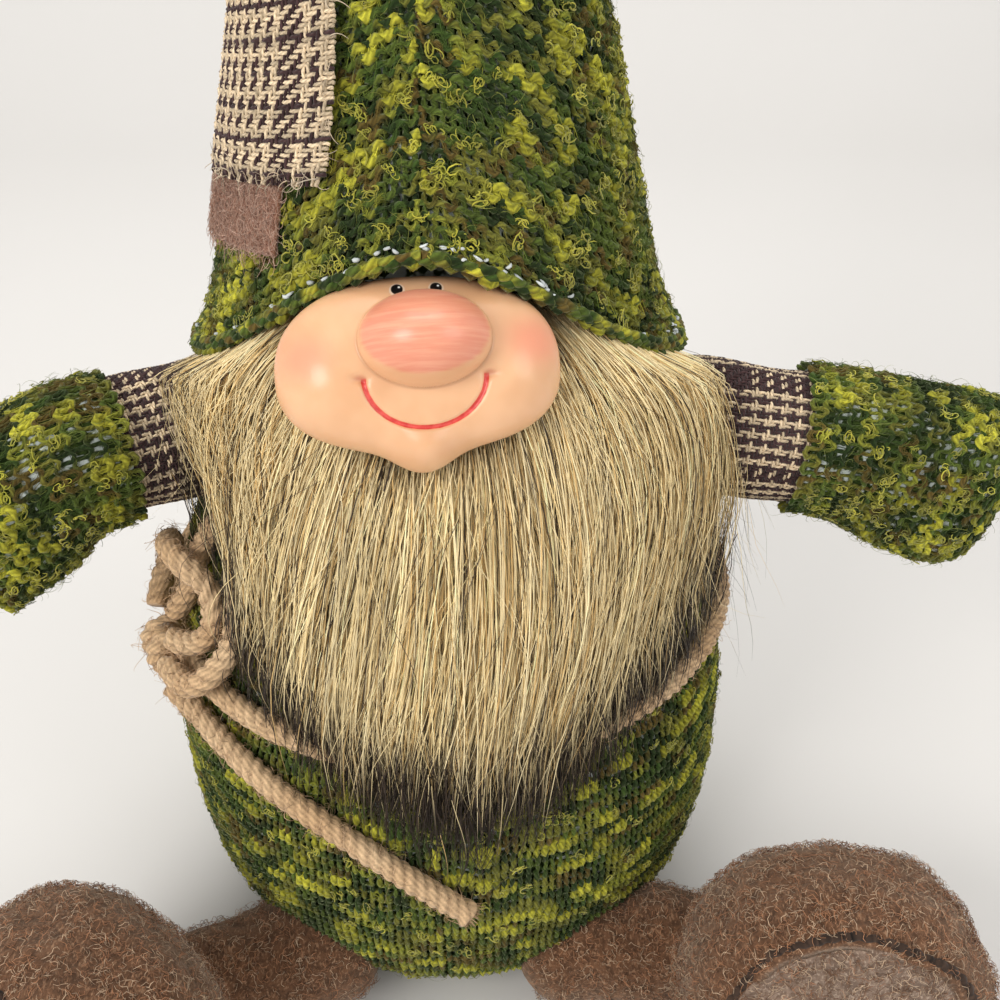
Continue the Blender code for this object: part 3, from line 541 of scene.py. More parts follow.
def rope_mesh(name, path, rng, radius=ROPE / 2, fray=0.0, lay=8.5):
    """Three-strand twisted rope: one tube whose lobed section turns along the path, slightly uneven."""
    K = len(path)
    n = 27
    T = unit(np.gradient(path, axis=0))
    # a frame carried along the path with no twist of its own
    N = np.zeros_like(path)
    ref = np.array([0, 0, 1.0]) if abs(T[0][2]) < 0.8 else np.array([1.0, 0, 0])
    N[0] = unit(ref - T[0] * (ref @ T[0]))
    for i in range(1, K):
        v = N[i - 1] - T[i] * (N[i - 1] @ T[i])
        N[i] = v / np.linalg.norm(v)
    W = np.cross(T, N)
    run = np.concatenate([[0], np.cumsum(np.linalg.norm(np.diff(path, axis=0), axis=1))])
    th = 2 * PI * np.arange(n) / n
    turn = run * 2 * PI / lay / 1.0
    local = 1.5 * (th[None, :] - turn[:, None] / 1.0)
    lobe = np.abs(np.cos(local)) ** 0.75
    r = radius * (0.74 + 0.28 * lobe)
    wob = np.stack([smooth_noise(rng, K, max(3, int(run[-1] / 3.0))) for _ in range(2)], 1)
    r *= 1 + 0.05 * wob[:, :1]
    if fray:
        r[-3:] *= np.array([1.05, 1.12, 1.18])[:, None]
    V = path[:, None, :] + r[..., None] * (np.cos(th)[None, :, None] * N[:, None, :] + np.sin(th)[None, :, None] * W[:, None, :])
    # painted shade and light: the colour darkens in the grooves between the three strands and lightens on their crowns,
    # with a little random tone
    tone = 0.72 + 0.34 * lobe + 0.06 * rng.normal(size=(K, n))
    mixc = 0.5 + 0.5 * smooth_noise(rng, K, max(3, int(run[-1] / 6)))[:, None]
    c = (np.array([0.47, 0.305, 0.165])[None, None] * (1 - mixc[..., None]) + np.array([0.56, 0.395, 0.235])[None, None] * mixc[..., None]) * tone[..., None]
    yarn = np.zeros((K, n, 3))
    yarn[..., 0] = run[:, None]
    yarn[..., 1] = (th[None, :] - turn[:, None])
    base = np.arange(K - 1)[:, None] * n
    j = np.arange(n)[None, :]
    j2 = (np.arange(n) + 1)[None, :] % n
    q = np.stack([base + j, base + j2, base + n + j2, base + n + j], -1).reshape(-1, 4)
    Vf = V.reshape(-1, 3)
    caps = np.array([np.arange(n)[::-1], (K - 1) * n + np.arange(n)])
    ob = mesh_object(name, Vf, [q, caps], M_ROPE, col=c.reshape(-1, 3), yarn=yarn.reshape(-1, 3))
    return ob, (path, T, N, W, run)


def rope_fuzz(name, info, rng, per_mm, radius=ROPE / 2, end_brush=0):
    """Loose fibres that stand off a rope, and the brush of cut fibres at a bare end."""
    path, T, N, W, run = info
    S = int(run[-1] * per_mm)
    K = 6
    s = rng.uniform(0, run[-1], S)
    i = np.clip(np.searchsorted(run, s) - 1, 0, len(path) - 2)
    th = rng.uniform(0, 2 * PI, S)
    d = np.cos(th)[:, None] * N[i] + np.sin(th)[:, None] * W[i]
    side = np.cross(T[i], d)
    p0 = path[i] + d * radius * 0.85
    L = rng.uniform(1.0, 3.4, S)
    t = np.linspace(0, 1, K)
    along = T[i] * rng.choice([-1, 1], S)[:, None] * rng.uniform(0.3, 1.1, S)[:, None] + side * rng.normal(0, 0.6, S)[:, None]
    lift = rng.uniform(0.15, 0.75, S)
    P = (p0[:, None] + along[:, None] * (L[:, None] * t)[..., None]
         + d[:, None] * (lift[:, None] * L[:, None] * 0.6 * np.sin(t * PI * 0.75)[None])[..., None]
         + side[:, None] * (0.35 * L[:, None] * np.sin(t * 5 + rng.uniform(0, 6, S)[:, None]))[..., None])
    R = rng.uniform(0.045, 0.09, S)[:, None] * (1 - 0.6 * t)[None]
    c = np.array([0.50, 0.34, 0.21]) * rng.uniform(0.65, 1.35, S)[:, None]
    C = np.repeat(c[:, None], K, 1)
    groups = [(P, R, C, d[:, None] * np.ones((1, K, 1)))]
    if end_brush:
        S = end_brush
        th, rr = rng.uniform(0, 2 * PI, S), np.sqrt(rng.uniform(0, 1, S)) * radius * 0.95
        d = np.cos(th)[:, None] * N[-1] + np.sin(th)[:, None] * W[-1]
        p0 = path[-1] - T[-1] * 0.8 + d * rr[:, None]
        L = rng.uniform(1.0, 3.0, S)
        P = p0[:, None] + T[-1] * (L[:, None] * t)[..., None] + d[:, None] * (0.35 * (rr / radius)[:, None] * L[:, None] * t**2)[..., None]
        R = rng.uniform(0.07, 0.13, S)[:, None] * (1 - 0.5 * t)[None]
        C = np.repeat((np.array([0.46, 0.30, 0.18]) * rng.uniform(0.6, 1.3, S)[:, None])[:, None], K, 1)
        groups.append((P, R, C, np.broadcast_to(N[-1], P.shape)))
    return strand_object(name, groups, M_ROPEFUZZ, "trunk")


def az_route(rows):
    return [tuple(body_point(a, z, o)) for a, z, o in rows]


LOOP_FRONT = az_route([(-69.0, 97.4, 7.2), (-73.5, 101.5, 5.6), (-74.5, 107.0, 4.8), (-70.5, 112.4, 6.6), (-64.0, 115.6, 9.2),
                       (-57.0, 116.2, 9.0), (-51.8, 112.6, 5.0), (-49.6, 106.6, 3.2), (-51.0, 101.0, 3.4), (-55.0, 98.0, 5.4),
                       (-58.6, 97.3, 6.8)])
LOOP_REAR = az_route([(-64.5, 98.4, 4.2), (-62.5, 104.0, 3.0), (-61.5, 112.0, 3.0), (-59.5, 119.0, 3.1), (-55.0, 124.0, 3.1),
                      (-49.5, 125.0, 3.1), (-45.6, 121.5, 3.1), (-43.4, 115.0, 3.1), (-42.6, 108.0, 3.1), (-43.0, 101.8, 4.2),
                      (-45.6, 96.4, 7.8), (-50.0, 93.6, 8.9), (-56.9, 92.6, 8.7)])
TAIL = az_route([(-58.2, 85.2, 6.2), (-53.5, 83.2, 4.2), (-46.0, 81.4, 3.1), (-38.0, 79.6, 3.0), (-28.5, 76.6, 3.0),
                 (-19.0, 72.8, 3.0), (-10.5, 67.0, 3.0), (-3.5, 60.2, 3.0), (4.5, 51.5, 3.0)])
rope_facts = {}
for name, route, far, seed in (("bow_loop_front", LOOP_FRONT, "object", 11), ("bow_loop_rear", LOOP_REAR, "object", 12), ("rope_tail", TAIL, "bare", 13)):
    rng = np.random.default_rng(seed)
    path, length = smooth_run(route, 0.62)
    ob, info = rope_mesh("twisted_" + name, path, rng, fray=1.0 if far == "bare" else 0.0)
    fz = rope_fuzz("fuzz_" + name, info, rng, 7.0, end_brush=150 if far == "bare" else 0)
    place(ob, "trunk", "twisted_rope", name)
    step_ = max(1, len(path) // 36)
    pts = [tuple(p * MM) for p in path[::step_]]
    if (len(path) - 1) % step_:
        pts.append(tuple(path[-1] * MM))
    rope_facts[name] = length

rng = np.random.default_rng(14)
az = np.linspace(KNOT_AZ + 6.0, KNOT_AZ + 360 - 6.0, 620)
belt_path = body_point(az, 91.0 + 0.5 * np.sin(np.radians(az) * 3), ROPE / 2 + 0.3)
belt, info = rope_mesh("twisted_belt", belt_path, rng)
place(belt, "trunk", "twisted_rope", "belt_rope")
rope_fuzz("fuzz_belt", info, rng, 5.0)
ka = math.radians(KNOT_AZ)
k_t, k_r, k_u = np.array([math.cos(ka), math.sin(ka), 0]), np.array([math.sin(ka), -math.cos(ka), 0]), np.array([0, 0, 1.0])
kc = body_point(KNOT_AZ, 90.0, 5.6)
th = np.linspace(-0.4 * PI, 3.15 * PI, 110)
kp = (kc + k_t * (-4.6 + 9.2 * (th - th[0]) / (th[-1] - th[0]))[:, None] + k_r * (3.0 * np.cos(th))[:, None] + k_u * (4.1 * np.sin(th))[:, None])
knot, info = rope_mesh("knot_wrap", kp, rng, radius=2.45)
place(knot, "trunk", "twisted_rope", "belt_knot")
rope_fuzz("fuzz_knot", info, rng, 8.0)
core_p = kc + k_u * np.linspace(-6.4, 6.0, 22)[:, None] + k_r * (0.8 * np.sin(np.linspace(0, 3, 22)))[:, None] - k_t * (1.5 * np.cos(np.linspace(0, 3, 22)))[:, None]
core, info = rope_mesh("knot_core", core_p, rng, radius=2.7)
place(core, "trunk", "twisted_rope")


# ------------------------------------------------------------------ knit
LIME = np.array([0.41, 0.375, 0.036])
LIME2 = np.array([0.23, 0.235, 0.022])
GREENS = np.array([[0.013, 0.025, 0.006], [0.060, 0.086, 0.014], [0.125, 0.122, 0.020], [0.088, 0.060, 0.014], [0.19, 0.20, 0.025], [0.030, 0.055, 0.010]])


def yarn_colours(rng, n, per):
    """Colour along one yarn: long mottled runs of green and brown with short lime slubs."""
    k = max(3, int(n / per))
    pal = GREENS[rng.choice(len(GREENS), k + 3, p=[0.24, 0.24, 0.17, 0.13, 0.10, 0.12])]
    hit = rng.uniform(size=k + 3) < 0.13
    pal[hit] = (LIME * 0.5 + LIME2 * 0.5) * rng.uniform(0.6, 1.2, (hit.sum(), 1))
    x = np.linspace(0, k, n)
    i = x.astype(int)
    t = step(0.25, 0.75, x - i)[:, None]
    h = hit.astype(float)
    return (pal[i] * (1 - t) + pal[i + 1] * t) * rng.uniform(0.8, 1.25), h[i] * (1 - t[:, 0]) + h[i + 1] * t[:, 0]


def knit(surf, rows, width, amp, depth, radius, rng, purl=1.0, pts=8, off0=-0.35):
    """Courses of knitted loops round a closed surface. rows: (position, circumference)."""
    groups = []
    for v, circ in rows:
        n = max(5, int(round(circ / width)))
        n = max(5, (n // 4) * 4) if n > 16 else n
        K = n * pts + 1
        t = np.linspace(0, 2 * PI * n, K)
        a0 = t / n
        r = circ / (2 * PI)
        wob = smooth_noise(rng, K, n)
        wob2 = smooth_noise(rng, K, n)
        a = a0 + (0.17 * width * np.sin(2 * t) + 0.22 * wob) / r
        y = v + amp * np.cos(t) * (1 + 0.14 * wob2) + 0.25 * wob
        o = off0 + purl * depth * np.cos(2 * t) + 0.18 * smooth_noise(rng, K, n * 2)
        P = surf(a, y, o)
        P[-1] = P[0]
        ctr = surf(a, y, o + 1.0) - P
        fat = 1 + 0.22 * smooth_noise(rng, K, int(n * 0.9)) + 0.25 * np.clip(smooth_noise(rng, K, int(n * 0.35)), 0, 1)
        col, slub = yarn_colours(rng, K, pts * 1.25)
        groups.append((P[None], (radius * (fat + 0.55 * slub))[None], col[None], ctr[None]))
    return groups


def yarn_fuzz(groups, rng, n, radius, length=(6, 12), K=5):
    """Fine fibres that run beside the yarn, lifting off it a little."""
    per = np.array([g[0].shape[1] for g in groups], float)
    pick = rng.choice(len(groups), n, p=per / per.sum())
    Ps, Cs, Ns = [], [], []
    for gi in np.unique(pick):
        P, R, C, N = groups[gi]
        m = int((pick == gi).sum())
        span = P.shape[1] - 1
        ln = np.minimum(rng.uniform(*length, m), span * 0.5)
        st = rng.uniform(0, span - ln, m)
        x = st[:, None] + ln[:, None] * np.linspace(0, 1, K)[None]
        i = np.clip(x.astype(int), 0, span - 1)
        f = (x - i)[..., None]
        p = P[0][i] * (1 - f) + P[0][i + 1] * f
        nn = unit(N[0][i])
        tt = unit(P[0][i + 1] - P[0][i])
        bb = np.cross(tt, nn)
        th = rng.uniform(-1.5, 1.5, m)[:, None] + rng.normal(0, 0.5, m)[:, None] * np.linspace(0, 1, K)[None]
        far = radius * (1.0 + np.abs(rng.normal(0, 0.45, m))[:, None] * np.array([0.1, 0.5, 0.9, 1.2, 1.6, 2.2])[None, :K])
        p = p + (nn * np.cos(th)[..., None] + bb * np.sin(th)[..., None]) * far[..., None]
        Ps.append(p)
        Ns.append(nn)
        Cs.append(C[0][i] * rng.uniform(0.9, 2.1, (m, 1, 1)) + np.array([0.012, 0.014, 0.002]))
    P, N, C = np.concatenate(Ps), np.concatenate(Ns), np.concatenate(Cs)
    R = rng.uniform(0.04, 0.085, len(P))[:, None] * np.linspace(1, 0.45, K)[None]
    return [(P, R, C, N)]


def split_groups(groups, limit):
    out, cur, n = [], [], 0
    for g in groups:
        k = g[0].shape[0] * g[0].shape[1]
        if cur and n + k > limit:
            out.append(cur)
            cur, n = [], 0
        cur.append(g)
        n += k
    if cur:
        out.append(cur)
    return out


def frames_at(surf, a, v, off, ea=0.01, ev=0.4):
    p = surf(a, v, off)
    ta = unit(surf(a + ea, v, off) - surf(a - ea, v, off))
    tv = unit(surf(a, v + ev, off) - surf(a, v - ev, off))
    n = unit(np.cross(ta, tv))
    tv = np.cross(n, ta)
    return p, ta, tv, n


def clear_of_limbs(frames, gap=3.0):
    """Drop the points that would stand where a sleeve or a leg leaves the body."""
    keep = np.ones(len(frames[0]), bool)
    for c, r in ((SHOULDER["l"], 13.8), (SHOULDER["r"], 13.8), (HIP["l"], 14.0), (HIP["r"], 14.0)):
        keep &= np.linalg.norm(frames[0] - c, axis=-1) > r + gap
    return tuple(f[keep] for f in frames)


def curls(frames, rng, per, lo, hi, colour_a, colour_b, thick, out=(0.1, 0.9), size=2.6, K=7):
    """Clusters of small curly loops standing on a surface."""
    p, ta, tv, n = frames
    S = len(p)
    rep = np.repeat(np.arange(S), per)
    M = len(rep)
    t = np.linspace(0, 1, K)[None]
    ax = rng.uniform(0, PI, S)[rep] + rng.normal(0, 0.4, M)
    ex, ey = np.cos(ax), np.sin(ax)
    rho = rng.uniform(lo, hi, M) * np.where(rng.uniform(size=M) < 0.5, 1.0, 1.5)
    turns = rng.uniform(0.25, 1.0, M) * rng.choice([-1, 1], M)
    ph = rng.uniform(0, 2 * PI, M)
    drift = rng.uniform(-1, 1, M) * size * 0.5
    ang = ph[:, None] + 2 * PI * turns[:, None] * t
    lx = rho[:, None] * np.cos(ang)
    ly = rho[:, None] * 0.62 * np.sin(ang)
    cx, cy = rng.normal(0, size * 0.33, M)[:, None], rng.normal(0, size * 0.2, M)[:, None]
    gx = cx + lx + drift[:, None] * (t - 0.5)
    gy = cy + ly
    X = gx * ex[:, None] - gy * ey[:, None]
    Y = gx * ey[:, None] + gy * ex[:, None]
    O = rng.uniform(*out, M)[:, None] * (0.35 + 0.9 * np.sin(ang * 0.5 + ph[:, None]) ** 2)
    P = p[rep][:, None] + ta[rep][:, None] * X[..., None] + tv[rep][:, None] * Y[..., None] + n[rep][:, None] * O[..., None]
    R = np.repeat(rng.uniform(*thick, M)[:, None], K, 1)
    R[:, 0] *= 0.5
    R[:, -1] *= 0.4
    f = rng.uniform(0, 1, M)[:, None]
    c = (np.asarray(colour_a)[None] * f + np.asarray(colour_b)[None] * (1 - f)) * rng.uniform(0.7, 1.3, S)[rep][:, None]
    return [(P, R, np.repeat(c[:, None], K, 1), np.repeat(n[rep][:, None], K, 1))]


def hairs(frames, rng, length, lift, colour_a, colour_b, thick, K=5, bend=0.5):
    """Single loose fibres lying over a surface."""
    p, ta, tv, n = frames
    S = len(p)
    t = np.linspace(0, 1, K)[None]
    d = rng.uniform(0, 2 * PI, S)
    L = rng.uniform(*length, S)
    b = rng.normal(0, bend, S)
    ang = d[:, None] + b[:, None] * t * 3
    dx = np.cumsum(np.cos(ang), 1) * (L / K)[:, None]
    dy = np.cumsum(np.sin(ang), 1) * (L / K)[:, None]
    dx -= dx[:, :1]
    dy -= dy[:, :1]
    h = rng.uniform(*lift, S)[:, None] * np.sin(t * PI * rng.uniform(0.45, 0.95, S)[:, None])
    P = p[:, None] + ta[:, None] * dx[..., None] + tv[:, None] * dy[..., None] + n[:, None] * h[..., None]
    R = rng.uniform(*thick, S)[:, None] * (1 - 0.6 * t)
    f = rng.uniform(0, 1, S)[:, None]
    c = (np.asarray(colour_a)[None] * f + np.asarray(colour_b)[None] * (1 - f)) * rng.uniform(0.7, 1.3, S)[:, None]
    return [(P, R, np.repeat(c[:, None], K, 1), np.repeat(n[:, None], K, 1))]


def skin_cup(name, surf, us, vs, off_out, off_in, mat):
    """A double-walled skin over a closed surface, open at its first row and closed at its last."""
    A, B = np.meshgrid(us, vs, indexing="ij")
    nu, nv = A.shape
    Vo, Vi = surf(A, B, off_out).reshape(-1, 3), surf(A, B, off_in).reshape(-1, 3)
    tip_o, tip_i = Vo.reshape(nu, nv, 3)[:, -1].mean(0), Vi.reshape(nu, nv, 3)[:, -1].mean(0)
    V = np.concatenate([Vo, Vi, [tip_o, tip_i]])
    q = grid_faces(nu, nv, True)
    qi = grid_faces(nu, nv, True, flip=True) + nu * nv
    i = np.arange(nu)
    j = (i + 1) % nu
    rim = np.stack([i * nv, nu * nv + i * nv, nu * nv + j * nv, j * nv], 1)
    t1 = np.stack([i * nv + nv - 1, j * nv + nv - 1, np.full(nu, 2 * nu * nv)], 1)
    t2 = np.stack([nu * nv + j * nv + nv - 1, nu * nv + i * nv + nv - 1, np.full(nu, 2 * nu * nv + 1)], 1)
    return mesh_object(name, V, [np.concatenate([q, qi, rim]), np.concatenate([t1, t2])], mat)


ring = lambda n: np.linspace(-PI, PI, n, endpoint=False)

# hat
hat_skin = skin_cup("hat_skin", hat_row, ring(120), np.concatenate([np.linspace(147, 345, 90), [348, 350, 351]]), -1.25, -2.15, M_KNIT_GROUND_SHADE)
place(hat_skin, "trunk", "green_knit", "hat_shell")
rng = np.random.default_rng(21)
rows = []
v = 147.6
while v < 350:
    rows.append((v, 2 * PI * max(1.6, float(hat_r(v)))))
    v += 2.5
hat_knit = knit(hat_row, rows, 3.5, 1.5, 0.48, 0.56, rng)
for i, g in enumerate(split_groups(hat_knit, 17000)):
    strand_object("hat_knit_%d" % (i + 1), g, M_KNIT, "trunk", n=4)
# hem: two close turns of yarn along the edge over the white lining's fold
hem_groups, white_groups = [], []
for k, (dv, off, rr) in enumerate(((0.2, 0.15, 0.75), (1.3, 0.35, 0.8))):
    a = np.linspace(0, 2 * PI, 900)
    w = smooth_noise(rng, 900, 220)
    P = hat_row(a, 147.2 + dv + 0.25 * w, off + 0.25 * np.sin(a * 104 + k * 2))
    P[-1] = P[0]
    hem_groups.append((P[None], (rr * (1 + 0.2 * w))[None], yarn_colours(rng, 900, 9)[0][None], (hat_row(a, 147.2 + dv, off + 1) - P)[None]))
strand_object("hat_hem", hem_groups, M_KNIT, "trunk", n=6)
S = 40
a = np.concatenate([rng.uniform(-0.62, 0.62, 17), rng.uniform(-1.7, 1.7, S - 17)])
t = np.linspace(-1, 1, 6)[None]
w = rng.uniform(0.5, 1.0, S)[:, None]
rr_ = hat_r(150.0)
aa = a[:, None] + w * t / rr_
vv = 149.9 + rng.normal(0, 0.7, S)[:, None] + rng.normal(0, 0.35, S)[:, None] * t
P = hat_row(aa, vv, 0.30 + 0.55 * (1 - t**2) - 0.5 * rng.uniform(0, 1, S)[:, None])
N_ = hat_row(aa, vv, 3.0) - hat_row(aa, vv, 0.0)
R = rng.uniform(0.24, 0.42, S)[:, None] * np.sqrt(np.maximum(0.08, 1 - t**2))
C = np.tile([0.56, 0.60, 0.60], (S, 6, 1)) * rng.uniform(0.7, 1.15, (S, 1, 1))
strand_object("hat_hem_lining", [(P, R, C, N_)], M_WHITE, "trunk", n=5)

# body
body_skin_v = np.concatenate([np.linspace(0, 30, 16), np.linspace(33, BODY_LEN - 0.5, 80)])
A, B = np.meshgrid(ring(120), body_skin_v, indexing="ij")
Vb = body_surf(A, B, -1.1).reshape(-1, 3)
nu, nv = A.shape
rim_r = 34.6
R1 = vec(rim_r * np.sin(ring(120)), -rim_r * np.cos(ring(120)), np.full(120, 0.7))
R2 = vec(rim_r * np.sin(ring(120)), -rim_r * np.cos(ring(120)), np.full(120, 1.95))
V = np.concatenate([Vb, R1, R2, [[0, 0, 186.0], [0, 0, 2.1]]])
i = np.arange(120)
j = (i + 1) % 120
o1, o2 = nu * nv, nu * nv + 120
quads = np.concatenate([grid_faces(nu, nv, True), np.stack([o1 + i, o1 + j, j * nv, i * nv], 1), np.stack([o2 + i, o2 + j, o1 + j, o1 + i], 1)])
tris = np.concatenate([np.stack([i * nv + nv - 1, j * nv + nv - 1, np.full(120, o2 + 120)], 1), np.stack([o2 + j, o2 + i, np.full(120, o2 + 121)], 1)])
body_skin = mesh_object("body_skin", V, [quads, tris], M_KNIT_GROUND_SHADE)
place(body_skin, "trunk", "green_knit", "body_shell")
rng = np.random.default_rng(22)
rows = []
s = 2.0
while s < float(np.interp(160, _z, _s)):
    rows.append((s, 2 * PI * float(np.interp(s, _s, _r))))
    s += 2.5
body_knit = knit(body_surf, rows, 3.5, 1.7, 0.45, 0.58, rng, purl=-1.0, off0=-0.45)
for i, g in enumerate(split_groups(body_knit, 17000)):
    strand_object("body_knit_%d" % (i + 1), g, M_KNIT, "trunk", n=4)


def scatter(rng, n, v0, v1, weight):
    """Random (angle, height) on a surface of turning, denser where it is wider."""
    out = []
    got = 0
    wmax = max(weight(v) for v in np.linspace(v0, v1, 60))
    while got < n:
        v = rng.uniform(v0, v1, n)
        keep = rng.uniform(0, wmax, n) < weight(v)
        v = v[keep]
        out.append(np.stack([rng.uniform(-PI, PI, len(v)), v], 1))
        got += len(v)
    return np.concatenate(out)[:n].T


rng = np.random.default_rng(23)
a, v = scatter(rng, 760, 149, 346, hat_r)
strand_object("hat_boucle", curls(frames_at(hat_row, a, v, 0.25), rng, 6, 0.4, 0.85, LIME, LIME2, (0.07, 0.17), size=2.0), M_CURL, "trunk")
strand_object("hat_spun_fibres", yarn_fuzz(hat_knit, rng, 11000, 0.56), M_FUZZ, "trunk")
a, v = scatter(rng, 2600, 148, 348, hat_r)
strand_object("hat_fuzz", hairs(frames_at(hat_row, a, v, 0.2), rng, (2.0, 5.0), (0.3, 1.6), (0.10, 0.13, 0.02), (0.30, 0.31, 0.07), (0.03, 0.055)),
              M_FUZZ, "trunk")
a, v = scatter(rng, 800, 3, np.interp(158, _z, _s), lambda s: np.interp(s, _s, _r))
strand_object("body_boucle", curls(clear_of_limbs(frames_at(body_surf, a, v, 0.2), 5.0), rng, 6, 0.4, 0.85, LIME, LIME2, (0.07, 0.17), size=2.0), M_CURL, "trunk")
strand_object("body_spun_fibres", yarn_fuzz(body_knit, rng, 9000, 0.58), M_FUZZ, "trunk")
a, v = scatter(rng, 2400, 3, np.interp(158, _z, _s), lambda s: np.interp(s, _s, _r))
strand_object("body_fuzz", hairs(clear_of_limbs(frames_at(body_surf, a, v, 0.1)), rng, (2.0, 5.0), (0.3, 1.4), (0.06, 0.09, 0.015), (0.22, 0.24, 0.06), (0.03, 0.055)),
              M_FUZZ, "trunk")


# ------------------------------------------------------------------ woven cloth
CREAM = np.array([0.58, 0.46, 0.31])
PLUM = np.array([0.050, 0.026, 0.026])


def weave(surf, u0, u1, v0, v1, nu, nv, closed, rng, rise, half, thin, big=(0, 1, 0, 1), dark_u=lambda i: False, dark_v=lambda j: False, overhang=0.0, weft=lambda j: ((j + 1) // 2) % 2 == 1):
    """Interlaced threads in a two-over-two twill over surf(u, v, off): nu lengthwise and nv crosswise threads."""
    groups = []
    per = 2

    def tone(rng, dark):
        return (PLUM if dark else CREAM) * rng.uniform(0.72, 1.25)

    us = (np.arange(nu) + 0.5) / nu
    vs = (np.arange(nv) + 0.5) / nv
    # lengthwise threads
    K = nv * per + 1
    y = np.linspace(-overhang, 1 + overhang, K)
    Pl, Rl, Cl, Nl = [], [], [], []
    for i in range(nu):
        jj = y * nv - 0.5
        ph = np.sin((jj - i) * PI / 2 + PI / 4)
        o = rise * np.clip(ph * 1.35, -1, 1)
        ends = 0.10 * smooth_noise(rng, K, nv)
        uu = u0 + (u1 - u0) * (us[i] + ends / nu * 1.5)
        vv = v0 + (v1 - v0) * y
        P = surf(np.broadcast_to(uu, y.shape), vv, o)
        Pl.append(P)
        Nl.append(surf(np.broadcast_to(uu, y.shape), vv, o + 1) - P)
        Rl.append(half * (1 + 0.14 * smooth_noise(rng, K, nv // 2 + 2)))
        c = tone(rng, (i // 2) % 2 == 1 or dark_u(i))
        Cl.append(np.repeat(c[None], K, 0) * (1 + 0.15 * smooth_noise(rng, K, nv))[:, None])
    groups.append((np.array(Pl), np.array(Rl) * thin, np.array(Cl), np.array(Nl)))
    # crosswise threads
    K = nu * per + 1
    x = np.linspace(0 if closed else -overhang, 1 if closed else 1 + overhang, K)
    Pl, Rl, Cl, Nl = [], [], [], []
    for j in range(nv):
        ii = x * nu - 0.5
        ph = -np.sin((j - ii) * PI / 2 + PI / 4)
        o = rise * np.clip(ph * 1.35, -1, 1)
        vv = v0 + (v1 - v0) * (vs[j] + 0.10 * smooth_noise(rng, K, nu) / nv * 1.5)
        if closed:
            vv[-1] = vv[0]
        uu = u0 + (u1 - u0) * x
        P = surf(uu, vv, o)
        Pl.append(P)
        Nl.append(surf(uu, vv, o + 1) - P)
        Rl.append(half * (1 + 0.14 * smooth_noise(rng, K, nu // 2 + 2)))
        c = tone(rng, weft(j) or dark_v(j))
        Cl.append(np.repeat(c[None], K, 0) * (1 + 0.15 * smooth_noise(rng, K, nu))[:, None])
    groups.append((np.array(Pl), np.array(Rl) * thin, np.array(Cl), np.array(Nl)))
    return groups


def sheet_mesh(name, surf, u0, u1, v0, v1, nu, nv, off_in, off_out, mat):
    us, vs = np.linspace(u0, u1, nu), np.linspace(v0, v1, nv)
    A, B = np.meshgrid(us, vs, indexing="ij")
    V = np.concatenate([surf(A, B, off_out).reshape(-1, 3), surf(A, B, off_in).reshape(-1, 3)])
    q = grid_faces(nu, nv)
    edge = [(i, 0) for i in range(nu)] + [(nu - 1, j) for j in range(1, nv)] + [(i, nv - 1) for i in range(nu - 2, -1, -1)] + [(0, j) for j in range(nv - 2, 0, -1)]
    e = np.array([i * nv + j for i, j in edge])
    e2 = np.roll(e, -1)
    rim = np.stack([e, e + nu * nv, e2 + nu * nv, e2], 1)
    return mesh_object(name, V, [np.concatenate([q, q[:, ::-1] + nu * nv, rim])], mat)


def patch_surf(a0, a1, slant, z0, base):
    def f(u, v, off):
        return hat_point(np.radians(u), v + slant * (u - (a0 + a1) / 2), base + off)
    return f


rng = np.random.default_rng(31)
felt_surf = patch_surf(-86, -36, 0.13, 178.5, 1.0)
felt = sheet_mesh("felt_patch", felt_surf, -86, -36, 178.5, 207.0, 44, 36, -0.2, 0.75, M_PATCHFELT)
place(felt, "trunk", "reddish_brown_felt", "patch_felt")
uu, vv = rng.uniform(-86.5, -35.5, 3800), rng.uniform(178.0, 207, 3800)
fr = frames_at(felt_surf, uu, vv, 0.72, ea=0.6)
ff = strand_object("felt_patch_fibres", hairs(fr, rng, (2.0, 6.0), (0.1, 1.0), (0.60, 0.42, 0.33), (0.30, 0.14, 0.085), (0.035, 0.07), K=6, bend=1.4),
                   M_FELTFIBRE, "trunk")

tw_surf = patch_surf(-74, -23, 0.13, 193.0, 2.9)
tw = sheet_mesh("tweed_patch", tw_surf, -73.6, -23.4, 193.4, 235.6, 44, 44, -0.35, 0.1, M_TWEEDGROUND)
place(tw, "trunk", "houndstooth_tweed", "patch_tweed")
tg = weave(tw_surf, -74, -23, 193.0, 236.0, 38, 60, False, rng, 0.20, 0.36, 1.0, dark_u=lambda i: 26 <= i <= 29, overhang=0.03, weft=lambda j: j % 7 == 0)
tt = strand_object("tweed_patch_threads", tg, M_TWEED, "trunk", n=4)
# frayed edge: loose warp ends along the bottom and right edges
S = 90
uu = np.concatenate([rng.uniform(-74, -23, 55), rng.uniform(-23.5, -22, 35)])
vv = np.concatenate([rng.uniform(192.0, 193.5, 55), rng.uniform(193, 235, 35)])
fr = frames_at(tw_surf, uu, vv, 0.2, ea=0.6)
tf = strand_object("tweed_patch_fray", hairs(fr, rng, (2.0, 6.0), (0.2, 1.2), (0.55, 0.46, 0.34), (0.40, 0.30, 0.2), (0.06, 0.14), K=7, bend=0.6),
                   M_TWEED, "trunk")


# ------------------------------------------------------------------ arms
def axis_frame(a, b):
    d = unit(b - a)
    side = unit(np.cross(d, [0, 0, 1.0]))
    up = unit(np.cross(side, d))
    return d, side, up


